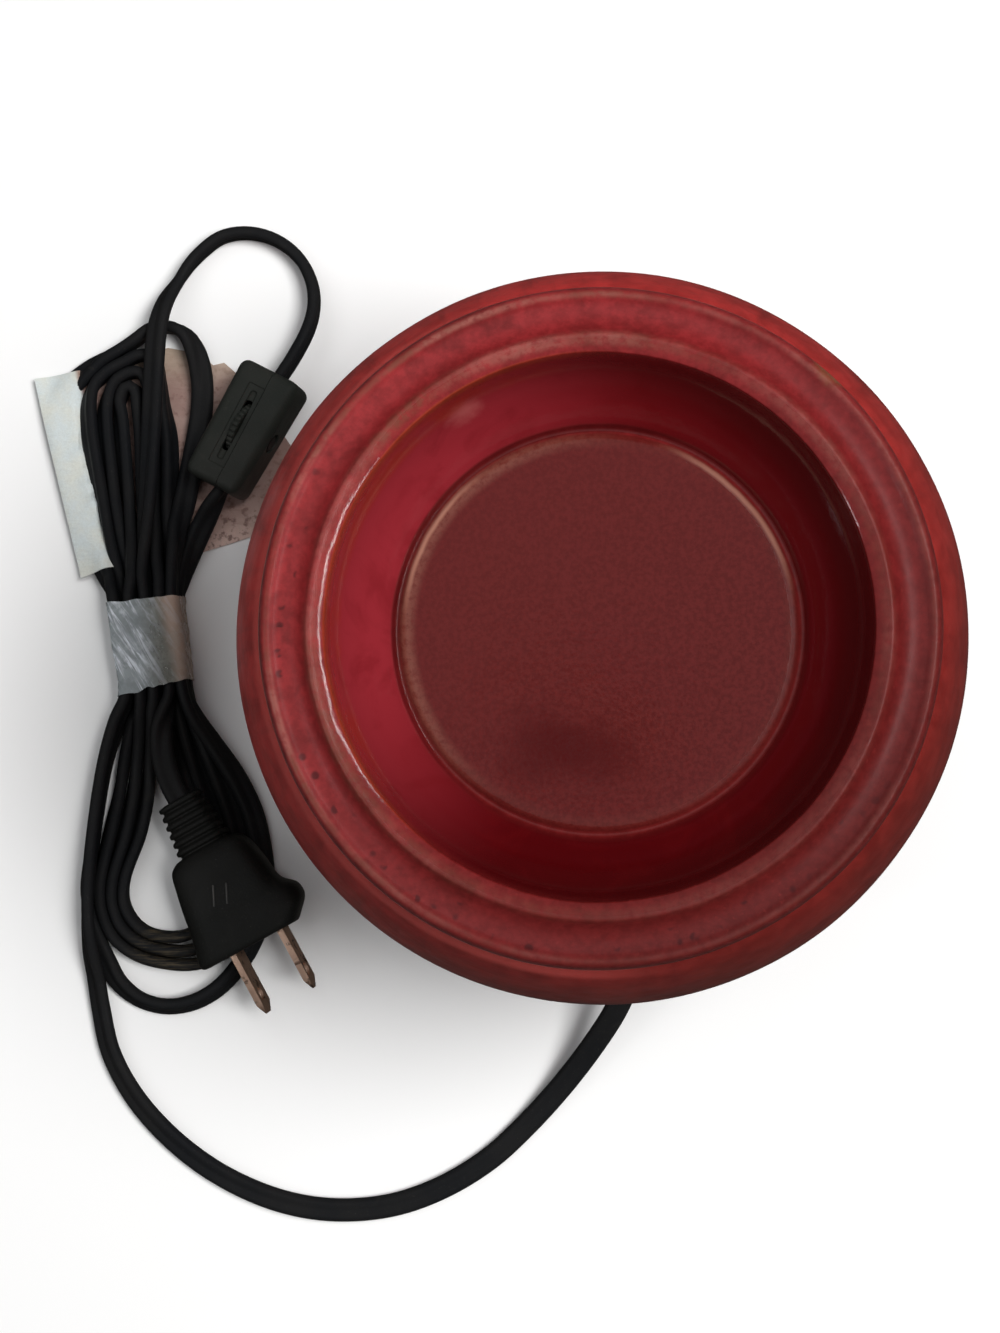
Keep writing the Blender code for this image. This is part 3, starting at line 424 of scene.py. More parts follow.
        # painted shade: a dark line in the crease where the wall meets the floor disc
        crease_painted_shade = g.math("MULTIPLY", g.band(near, 38.75, 0.45, 0.55), g.range(z, 121.0, 122.0))
        col = g.mix(g.math("MULTIPLY", crease_painted_shade, g.range(drift_and_painted_light, 0.2, 0.8, 0.20, 0.75)), col, (0.040, 0.0012, 0.0018))
        # painted light: the dish's outer flank brightened and paled where it stands in shade beside the pot
        flank_painted_light = g.math("MULTIPLY", g.math("MULTIPLY", g.range(r, 61.2, 62.0), g.range(z, 141.8, 140.6)), joint_painted_light)
        col = g.mix(g.math("MULTIPLY", flank_painted_light, 0.78), col, g.mix(g.range(drift_and_painted_light, 0.55, 0.90), (0.62, 0.085, 0.075), (0.66, 0.190, 0.150)))
        # a patch where the glaze broke to olive
        away = g.vmath("DISTANCE", g.obj, (0.0434, 0.0475, 0.141))
        away = g.math("ADD", away, g.math("MULTIPLY", g.math("SUBTRACT", g.noise(170.0, 4.0, 0.65), 0.5), 0.008))
        col = g.mix(g.math("MULTIPLY", g.range(away, 0.0058, 0.0022), 0.60), col, (0.170, 0.085, 0.030))
        # painted highlight: two cream glints on the rim of the floor disc
        x, y, _ = g.sep(g.obj)
        ang = g.math("ARCTAN2", y, x)
        floor_glint_paint = g.math("MAXIMUM", g.band(ang, 2.62, 0.10, 0.42), g.math("MULTIPLY", g.band(ang, 0.72, 0.20, 0.40), 0.55))
        floor_glint_paint = g.math("MULTIPLY", floor_glint_paint, g.math("MULTIPLY", g.band(rr, 37.1, 0.10, 0.75), g.range(z, 122.0, 123.2)))
        col = g.mix(g.math("MULTIPLY", floor_glint_paint, 0.8), col, (0.42, 0.21, 0.15))
        # pin holes in a row along the channel
        polar = g.comb(g.math("MULTIPLY", ang, 57.9), g.math("MULTIPLY", g.math("SUBTRACT", r, 57.9), 1.0), 0.0)
        dots = g.voronoi(0.27, vec=polar, randomness=0.45)
        hole = g.math("MULTIPLY", g.range(dots, 0.29, 0.15), g.band(r, 57.9, 1.5, 0.8))
        hole = g.math("MULTIPLY", hole, g.range(g.math("SINE", g.math("ADD", ang, 0.55)), 0.25, -0.25))
        hole = g.math("MULTIPLY", hole, g.range(g.noise(500.0, 0.0, 0.5), 0.34, 0.50))
        col = g.mix(g.math("MULTIPLY", hole, 0.75), col, (0.030, 0.0020, 0.0030))
        outside = g.math("MAXIMUM", g.range(rr, 51.4, 53.0), g.range(z, 136.0, 134.0, 0.0, 1.0))
        outside = g.math("MULTIPLY", outside, g.range(r, 51.0, 52.0))
        rough = g.lerp(outside, g.range(mottle, 0.2, 0.8, 0.085, 0.13), g.range(mottle, 0.2, 0.8, 0.34, 0.46))
        rough = g.lerp(floor, rough, g.range(mottle, 0.3, 0.7, 0.105, 0.14))
        rough = g.lerp(g.math("MULTIPLY", g.band(r, 37.6, 1.1, 0.5), g.range(sx, 0.004, 0.020)), rough, 0.46)
        peel = g.math("ADD", g.math("MULTIPLY", g.noise(240.0, 3.0, 0.5), 1.0), g.math("MULTIPLY", g.noise(900.0, 2.0, 0.5), 0.10))
        n1 = g.bump(peel, 0.07, 0.0009)
        n2 = g.bump(g.math("MULTIPLY", floor, g.noise(1250.0, 3.0, 0.6)), 0.11, 0.0004, n1)
        n3 = g.bump(hole, -0.5, 0.0006, n2)
        g.set(color=col, rough=rough, normal=n3, ior=1.50)
    else:
        # runs that follow the slope, darker towards the foot where the glaze is thick
        x, y, _ = g.sep(g.obj)
        ang = g.math("ARCTAN2", y, x)
        runs = g.noise(1.0, 3.0, 0.6, vec=g.comb(g.math("MULTIPLY", ang, 7.0), g.math("MULTIPLY", z, 0.018), 3.0))
        col = g.mix(g.range(runs, 0.42, 0.66, 0.0, 0.55), red, (0.085, 0.0030, 0.0035))
        # painted light: the pot's upper part brighter and redder, more so on the lit side, where its steep sides catch
        # little light
        top = g.math("MULTIPLY", g.range(g.math("ADD", z, g.math("MULTIPLY", wander, 7.0)), 76.0, 118.0), 0.85)
        col = g.mix(top, col, g.mix(drift_and_painted_light, (0.150, 0.011, 0.008), (0.500, 0.028, 0.026)))
        # the thin glaze of the shoulder is cloudy and runs a little too
        cloudy = g.mix(g.range(g.noise(150.0, 4.0, 0.62, distort=0.5), 0.34, 0.66), (0.78, 0.74, 0.74), (1.10, 1.14, 1.14))
        col = g.mix(1.0, col, cloudy, "MULTIPLY")
        streaks = g.noise(1.0, 4.0, 0.65, vec=g.comb(g.math("MULTIPLY", ang, 16.0), g.math("MULTIPLY", z, 0.030), 7.0))
        col = g.mix(g.math("MULTIPLY", g.range(streaks, 0.48, 0.70), 0.42), col, (0.110, 0.0055, 0.0055))
        # painted light: the pot's shoulder just below the dish's rim brightened where the rim shades it
        pot_painted_light_by_dish = g.math("MULTIPLY", g.math("MULTIPLY", g.band(r, 63.2, 0.9, 1.3), g.range(z, 124.0, 130.0)), joint_painted_light)
        pot_painted_light_by_dish = g.math("MULTIPLY", pot_painted_light_by_dish, g.range(g.math("MULTIPLY", g.vmath("DOT_PRODUCT", g.obj, (0.35, 0.94, 0.0)), 1000.0), 58.0, 30.0))
        col = g.mix(g.math("MULTIPLY", pot_painted_light_by_dish, 0.52), col, (0.60, 0.080, 0.068))
        pool = g.math("MULTIPLY", g.band(g.math("ADD", z, wander), 23.5, 1.2, 3.0), 0.55)
        col = g.mix(pool, col, (0.045, 0.0020, 0.0030))
        thin = g.math("MULTIPLY", g.band(g.math("ADD", z, g.math("MULTIPLY", wander, 1.8)), 5.4, 0.9, 1.4), 0.75)
        col = g.mix(thin, col, (0.22, 0.075, 0.030))
        # bare fired clay on the foot ring and inside
        n = g.node("ShaderNodeNewGeometry").outputs["Normal"]
        nx, ny, nz = g.sep(n)
        px, py, pz = g.sep(g.obj)
        outward = g.math("ADD", g.math("MULTIPLY", nx, px), g.math("MULTIPLY", ny, py))
        inner = g.range(outward, -0.002, -0.006)
        foot = g.range(g.math("ADD", z, g.math("MULTIPLY", wander, 0.5)), 4.4, 3.9)
        ledge = g.math("MULTIPLY", g.range(r, 51.0, 50.2), g.range(z, 12.5, 11.5))
        bare = g.math("MAXIMUM", g.math("MAXIMUM", inner, foot), ledge)
        clay = g.mix(g.range(g.noise(380.0, 4.0, 0.65), 0.35, 0.7), (0.60, 0.50, 0.39), (0.50, 0.40, 0.30))
        clay = g.mix(g.range(g.noise(1500.0, 1.0, 0.5), 0.68, 0.74), clay, (0.22, 0.15, 0.10))
        col = g.mix(bare, col, clay)
        rough = g.lerp(bare, g.range(mottle, 0.2, 0.8, 0.30, 0.42), 0.85)
        peel = g.noise(210.0, 3.0, 0.5)
        n1 = g.bump(peel, 0.14, 0.0010)
        n2 = g.bump(g.math("MULTIPLY", bare, g.noise(1500.0, 3.0, 0.6)), 0.35, 0.0005, n1)
        g.set(color=col, rough=rough, normal=n2, ior=1.50, spec=0.20)
    return g.m


def vinyl(name, tint, rough, bump_scale=900.0, grain=0.10, spec=0.3, warm_glints=False):
    """Black PVC: slightly uneven colour, faint scuffs, dust in the low gloss."""
    g = G(name)
    big = g.noise(45.0, 3.0, 0.6)
    col = g.mix(g.range(big, 0.35, 0.65), tint[0], tint[1])
    scuff = g.range(g.noise(150.0, 4.0, 0.7, distort=1.2), 0.60, 0.74)
    col = g.mix(g.math("MULTIPLY", scuff, 0.35), col, tint[2])
    dust = g.range(g.noise(2600.0, 2.0, 0.6), 0.66, 0.74)
    col = g.mix(g.math("MULTIPLY", dust, 0.12), col, (0.20, 0.19, 0.17))
    if warm_glints:
        # painted reflection: warm golden-brown glints along the strands of the lower bend, where warm light from the
        # blades and the pot reflects
        far = g.vmath("DISTANCE", g.obj, (-0.1045, -0.0722, 0.0045))
        streak = g.noise(1.0, 3.0, 0.7, vec=g.vmath("MULTIPLY", g.obj, (150.0, 2600.0, 900.0)))
        painted_glint = g.math("MULTIPLY", g.range(far, 0.0125, 0.0050), g.range(streak, 0.44, 0.70))
        col = g.mix(g.math("MULTIPLY", painted_glint, 0.55), col, (0.105, 0.082, 0.050))
    ro = g.math("ADD", g.range(g.noise(120.0, 3.0, 0.6), 0.3, 0.7, rough - 0.05, rough + 0.07), g.math("MULTIPLY", scuff, 0.12))
    n = g.bump(g.noise(bump_scale, 3.0, 0.6), grain, 0.0004)
    g.set(color=col, rough=ro, normal=n, ior=1.50, spec=spec)
    return g.m


def metal(name, a, b, rough, scratch=0.25, stain=None, brushed=None):
    g = G(name)
    big = g.noise(90.0, 4.0, 0.6)
    col = g.mix(g.range(big, 0.3, 0.7), a, b)
    if stain is not None:
        spot = g.range(g.noise(330.0, 4.0, 0.65, distort=0.8), 0.56, 0.66)
        col = g.mix(g.math("MULTIPLY", spot, 0.8), col, stain)
    vec = g.vmath("MULTIPLY", g.obj, brushed) if brushed is not None else g.obj
    fine = g.noise(2200.0, 3.0, 0.7, vec=vec)
    ro = g.range(fine, 0.2, 0.8, rough - 0.08, rough + 0.14)
    n = g.bump(fine, scratch, 0.0002)
    g.set(color=col, rough=ro, metal=1.0, normal=n)
    return g.m


m_dish = glaze("dish_glaze_look", True)
m_pot = glaze("body_glaze_look", False)
m_cord = vinyl("cord_vinyl_look", ((0.0074, 0.0080, 0.0092), (0.0108, 0.0108, 0.0112), (0.026, 0.025, 0.022)), 0.47, spec=0.16, warm_glints=True)
m_case = vinyl("moulded_vinyl_look", ((0.0150, 0.0175, 0.0150), (0.0205, 0.0220, 0.0190), (0.044, 0.042, 0.036)), 0.50, 1400.0, grain=0.22, spec=0.30)
m_plug = vinyl("plug_vinyl_look", ((0.0050, 0.0054, 0.0049), (0.0074, 0.0076, 0.0069), (0.022, 0.020, 0.016)), 0.44, 1400.0, grain=0.30, spec=0.22)
# painted highlight: light grey so the grip ridges glint
m_rib_glint = vinyl("rib_painted_glint_look", ((0.040, 0.041, 0.040), (0.075, 0.074, 0.070), (0.12, 0.115, 0.105)), 0.34, 1400.0, grain=0.2, spec=0.4)
m_black = vinyl("blackened_pin_look", ((0.0040, 0.0040, 0.0042), (0.0060, 0.0058, 0.0060), (0.012, 0.012, 0.012)), 0.50, spec=0.25)
m_blade = metal("blade_look", (0.86, 0.60, 0.46), (0.66, 0.44, 0.33), 0.40, 0.35, stain=(0.110, 0.055, 0.038))
m_zinc = metal("zinc_look", (0.58, 0.60, 0.62), (0.46, 0.47, 0.48), 0.38, 0.30, stain=(0.36, 0.36, 0.35))
m_steel = metal("steel_look", (0.66, 0.66, 0.66), (0.52, 0.52, 0.53), 0.26, 0.25)
m_brass = metal("brass_look", (0.80, 0.58, 0.26), (0.66, 0.45, 0.18), 0.26, 0.25, stain=(0.42, 0.26, 0.10))
m_nickel = metal("nickel_look", (0.70, 0.68, 0.64), (0.58, 0.56, 0.52), 0.24, 0.20, stain=(0.36, 0.32, 0.27))


def rubber():
    g = G("rubber_look")
    col = g.mix(g.range(g.noise(260.0, 4.0, 0.6), 0.35, 0.68), (0.018, 0.018, 0.019), (0.034, 0.033, 0.032))
    g.set(color=col, rough=g.range(g.noise(500.0, 3.0, 0.6), 0.3, 0.7, 0.62, 0.86), normal=g.bump(g.noise(1500.0, 3.0, 0.7), 0.4, 0.0004))
    return g.m


def phenolic():
    g = G("phenolic_look")
    swirl = g.noise(130.0, 4.0, 0.6, distort=2.2)
    col = g.mix(g.range(swirl, 0.35, 0.66), (0.70, 0.66, 0.56), (0.58, 0.52, 0.41))
    col = g.mix(g.range(g.noise(1400.0, 1.0, 0.5), 0.68, 0.75), col, (0.30, 0.24, 0.17))
    g.set(color=col, rough=g.range(g.noise(300.0, 3.0, 0.6), 0.3, 0.7, 0.36, 0.55), normal=g.bump(g.noise(900.0, 3.0, 0.6), 0.2, 0.0004))
    return g.m


def glass():
    g = G("bulb_glass_look")
    seeds = g.noise(240.0, 3.0, 0.5)
    g.set(color=(0.97, 0.98, 0.98), rough=g.range(seeds, 0.3, 0.7, 0.01, 0.05), trans=1.0, ior=1.47,
          normal=g.bump(seeds, 0.03, 0.0005))
    return g.m


def insulation(name, a, b):
    g = G(name)
    col = g.mix(g.range(g.noise(200.0, 3.0, 0.6), 0.35, 0.66), a, b)
    g.set(color=col, rough=g.range(g.noise(500.0, 3.0, 0.6), 0.3, 0.7, 0.38, 0.52), normal=g.bump(g.noise(1100.0, 2.0, 0.6), 0.15, 0.0003))
    return g.m


def paper():
    """Bare card: fibres, a few soft creases with painted shade in them, greenish white on the loose leaf, and darker
    and pinkish under the hank, which is painted shade with a painted red reflection.
    """
    g = G("tag_paper_look")
    x, y, z = g.sep(g.obj)
    fibre = g.noise(1700.0, 4.0, 0.75, distort=0.6)
    blot = g.noise(110.0, 4.0, 0.6)
    leaf = g.mix(g.range(blot, 0.35, 0.68), (0.66, 0.73, 0.74), (0.72, 0.74, 0.68))
    # painted shade and painted red reflection: the card under the hank darker and pinkish, lighter towards both ends,
    # with darker patches
    back = g.mix(g.range(blot, 0.36, 0.64), (0.42, 0.285, 0.25), (0.33, 0.205, 0.180))
    back = g.mix(g.math("MULTIPLY", g.range(g.math("MULTIPLY", y, 1000.0), 40.0, 27.0), 0.75), back, (0.86, 0.62, 0.54))
    back = g.mix(g.range(g.noise(520.0, 3.0, 0.6), 0.50, 0.66), back, (0.26, 0.150, 0.130))
    back = g.mix(g.math("MULTIPLY", g.range(g.math("MULTIPLY", y, 1000.0), 64.0, 76.0), 0.55), back, (0.50, 0.42, 0.31))
    side = g.range(g.math("ADD", g.math("MULTIPLY", x, 1000.0), g.math("MULTIPLY", g.math("SUBTRACT", g.math("MULTIPLY", y, 1000.0), 21.0), 0.27)), -116.6, -115.2)
    col = g.mix(side, leaf, back)
    col = g.mix(g.range(fibre, 0.30, 0.75, 0.20, 0.0), col, (0.28, 0.25, 0.21))
    fold = g.noise(1.0, 3.0, 0.5, vec=g.vmath("MULTIPLY", g.obj, (120.0, 620.0, 120.0)))
    # painted shade in the creases
    crease = g.math("MULTIPLY", g.range(fold, 0.56, 0.66), side)
    col = g.mix(g.math("MULTIPLY", crease, 0.18), col, (0.22, 0.12, 0.10))
    n1 = g.bump(fibre, 0.30, 0.00030)
    n2 = g.bump(fold, 0.35, 0.0008, n1)
    g.set(color=col, rough=0.82, normal=n2, sss=0.0)
    return g.m


def tape():
    """Clear tape, crinkled: white where the creases catch air and a painted highlight where they catch light, grey film
    elsewhere, beige where layers pile up.
    """
    g = G("clear_tape_look")
    x, y, z = g.sep(g.obj)
    slant = g.comb(g.math("ADD", g.math("MULTIPLY", x, 1.0), g.math("MULTIPLY", y, 0.62)), g.math("MULTIPLY", y, 0.16), g.math("MULTIPLY", z, 0.5))
    streak = g.noise(560.0, 4.0, 0.62, vec=slant, distort=0.5)
    cloud = g.noise(210.0, 3.0, 0.6)
    across = g.math("ADD", g.math("MULTIPLY", g.math("ADD", x, g.math("MULTIPLY", y, 0.1166)), 1000.0), 108.72)
    right = g.range(g.math("SUBTRACT", across, g.math("MULTIPLY", y, -130.0)), 3.8, 7.2)
    mid = g.range(across, -3.0, 4.5)
    # white crinkles: partly a painted highlight
    white = g.range(streak, 0.48, 0.62)
    white = g.math("MULTIPLY", white, g.lerp(mid, 1.0, 0.15))
    film = g.mix(mid, (0.360, 0.400, 0.415), (0.215, 0.212, 0.182))
    col = g.mix(right, film, g.mix(g.range(cloud, 0.35, 0.66), (0.44, 0.32, 0.255), (0.34, 0.265, 0.215)))
    col = g.mix(white, col, (0.70, 0.74, 0.80))
    alpha = g.lerp(right, g.range(cloud, 0.3, 0.7, 0.50, 0.80), g.range(cloud, 0.3, 0.7, 0.86, 0.97))
    alpha = g.math("MAXIMUM", alpha, g.math("MULTIPLY", white, 0.92))
    n = g.bump(streak, 0.5, 0.0006)
    g.set(color=col, rough=g.range(cloud, 0.3, 0.7, 0.16, 0.34), alpha=alpha, normal=n, ior=1.46)
    return g.m


m_rubber = rubber()
m_phenolic = phenolic()
m_glass = glass()
m_lead = insulation("lead_look", (0.024, 0.024, 0.025), (0.040, 0.039, 0.038))
m_lead2 = insulation("lead_white_look", (0.62, 0.60, 0.55), (0.52, 0.49, 0.43))
m_filament = metal("filament_look", (0.30, 0.29, 0.28), (0.20, 0.19, 0.18), 0.4, 0.2)
m_paper = paper()
m_tape = tape()


# ---------------------------------------------------------------- the dish
def soft(v, amount, scale, seed):
    return amount * noise.noise(Vector((v[0] / scale, v[1] / scale, seed)))


BUMPS = [  # small raised blemishes in the glaze: x, y, height, radius
    (-0.4, 53.3, 0.30, 1.6), (-14.6, 56.0, 0.22, 1.0), (-13.2, 56.8, 0.20, 0.9), (-10.8, 57.2, 0.22, 0.9), (-36.4, 43.4, 0.26, 1.0),
    (-35.0, 45.0, 0.20, 0.8), (-24.8, 40.8, 0.30, 1.5), (-32.8, 21.6, 0.30, 0.8), (2.0, -57.0, -0.22, 0.8),
]


def dish_wobble(r, z, a):
    x, y = r * math.cos(a), r * math.sin(a)
    dr = dz = 0.0
    if z > 121.0:
        k = min(1.0, max(0.0, (r - 36.0) / 6.0))
        dz += soft((x, y), 0.20 * k, 17.0, 2.3) + soft((x, y), 0.04 * k, 5.0, 7.1)
        dr += 0.14 * k * noise.noise(Vector((math.cos(a) * 3.1, math.sin(a) * 3.1, z / 9.0)))
        dz += soft((x, y), 0.05 * (1 - k), 9.0, 4.4)
        for bx, by, h, br in BUMPS:
            d2 = ((x - bx) ** 2 + (y - by) ** 2) / br ** 2
            if d2 < 9:
                dz += h * math.exp(-d2)
    return r + dr, z + dz


top = [(0.01, 124.30), (12.0, 124.30), (24.0, 124.30), (32.0, 124.29), (35.2, 124.28), (36.2, 124.22), (37.0, 124.06),
       (37.55, 123.76), (37.95, 123.38), (38.35, 123.20), (38.8, 123.40), (39.35, 124.10), (40.3, 125.2), (41.7, 126.5),
       (43.6, 128.4), (45.3, 130.6), (46.9, 133.2), (48.15, 136.0), (48.95, 139.0), (49.40, 141.6), (49.60, 142.9),
       (49.72, 143.60), (49.86, 143.97), (50.06, 144.12), (50.5, 144.31), (50.95, 144.485), (51.4, 144.64), (51.9, 144.80), (52.35, 144.94),
       (52.65, 144.97), (53.1, 144.80), (53.75, 144.10), (54.6, 143.38),
       (55.5, 142.88), (56.4, 142.58), (57.3, 142.44), (58.2, 142.44), (59.1, 142.62), (59.75, 142.93), (60.3, 143.18), (60.8, 143.20),
       (61.35, 142.95), (61.8, 142.35), (62.15, 141.5), (62.38, 140.4), (62.35, 139.2), (62.0, 138.1), (61.3, 137.3)]
under = [(60.4, 137.1), (57.0, 137.0), (56.0, 136.9), (55.9, 136.2), (55.85, 134.4), (55.0, 133.6), (53.8, 133.2),
         (52.3, 130.4), (50.8, 126.6), (47.5, 123.6), (44.0, 121.4), (41.0, 119.4), (39.0, 118.8), (36.0, 118.8), (20.0, 118.8)]
prof = catmull_open(top, 3) + under + [(0.0, 118.8)]
prof[0] = (0.0, prof[0][1])
dish = lathe("dish_glazed", prof, [m_dish], seg=288, wobble=dish_wobble, angle=40)
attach(dish, DISH)
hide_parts("wax_dish")

# ---------------------------------------------------------------- the pot
MOUTH_R, BELLY_R, FOOT_R, WALL, MOUTH_BORE = 58.5, 75.3, 52.3, 4.5, 56.6
BELLY_Z, MOUTH_Z, FOOT_TOP = 64.0, 136.6, 25.0
HOLE_AT, EXIT_DIR = (9.0, -52.0, 17.4), (-0.12, -0.985, -0.09)


def pot_wobble(r, z, a):
    k = min(1.0, max(0.0, (z - 26.0) / 20.0)) * min(1.0, max(0.0, (135.0 - z) / 12.0))
    d = 0.25 * k * noise.noise(Vector((math.cos(a) * 2.2, math.sin(a) * 2.2, z / 34.0)))
    return r + d, z


outer = []
for k in range(29):
    a = math.radians(90.0 * k / 28)
    outer.append((MOUTH_R + (BELLY_R - MOUTH_R) * math.sin(a), BELLY_Z + (MOUTH_Z - BELLY_Z) * math.cos(a)))
outer[0] = (MOUTH_R - 0.25, MOUTH_Z - 0.02)
for k in range(1, 23):
    a = math.radians(90.0 * k / 22)
    outer.append((FOOT_R + (BELLY_R - FOOT_R) * math.cos(a), BELLY_Z - (BELLY_Z - FOOT_TOP) * math.sin(a) ** 1.15))
outer += [(FOOT_R, 22.0), (FOOT_R, 18.0), (FOOT_R, 14.0), (FOOT_R, 10.0), (FOOT_R, 6.4), (FOOT_R - 0.10, 4.6), (FOOT_R - 0.45, 3.3),
          (FOOT_R - 1.1, 2.65), (FOOT_R - 2.0, 2.5), (FOOT_R - 3.2, 2.5), (FOOT_R - 4.2, 2.6), (FOOT_R - 4.8, 3.1)]
inner = [(FOOT_R - WALL - 0.5, 3.8), (FOOT_R - WALL - 0.5, 7.0), (47.0, 7.1), (38.0, 7.1), (37.0, 7.2), (36.5, 7.7), (36.5, 9.5),
         (37.0, 10.0), (38.0, 10.1), (46.6, 10.1), (47.6, 10.6), (FOOT_R - WALL, 12.0), (FOOT_R - WALL, 19.0), (FOOT_R - WALL, 26.5)]
for k in range(15, 0, -1):
    a = math.radians(90.0 * k / 16)
    inner.append((FOOT_R - WALL + (BELLY_R - FOOT_R) * math.cos(a), BELLY_Z - (BELLY_Z - FOOT_TOP - 1.5) * math.sin(a) ** 1.15))
for k in range(20, 0, -1):
    a = math.radians(90.0 * k / 20)
    inner.append((MOUTH_BORE + (BELLY_R - WALL - MOUTH_BORE) * math.sin(a), BELLY_Z + (MOUTH_Z - 4.0 - BELLY_Z) * math.cos(a)))
inner += [(MOUTH_BORE, 134.2), (MOUTH_BORE + 0.1, 135.6), (MOUTH_BORE + 0.55, 136.4), (MOUTH_BORE + 1.1, 136.6)]
pot = lathe("pot_glazed", outer + inner, [m_pot], seg=224, wobble=pot_wobble, angle=50)
axis = Vector(EXIT_DIR).normalized()
drill = lathe("drill", [(0.0, -8.3), (4.6, -8.3), (4.6, 8.3), (0.0, 8.3)], [m_pot], seg=48)
drill.data.transform(Matrix.Translation(Vector((HOLE_AT[0], HOLE_AT[1] + 2.0, HOLE_AT[2])) * MM) @ Vector((0, 0, 1)).rotation_difference(axis).to_matrix().to_4x4())
drill.data.update()
boolean(pot, [drill])
shade(pot, True, 50)
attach(pot, BASE)
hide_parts("ceramic_body")


# ---------------------------------------------------------------- the cord
# All lengths in millimetres.
CORE_R = 1.45          # mm, radius of one core's insulation
CORE_OFF = 1.35        # mm, half the distance between the cores


def waist_x(y):
    return -108.72 - 0.1166 * y


PITCH = 3.35
CORD_HALF_W = CORE_R + CORE_OFF


def lane(n, y, up, tilt=0.0):
    """A point in the tied waist: n is the lane from -2 to 2, up the upper layer."""
    return (waist_x(y) + n * PITCH, y, 6.65 if up else 1.0, tilt)


def waist(n, up, down):
    ys = (-9.0, 2.5, 14.0)
    pts = [lane(n, y, up) for y in ys]
    return pts[::-1] if down else pts


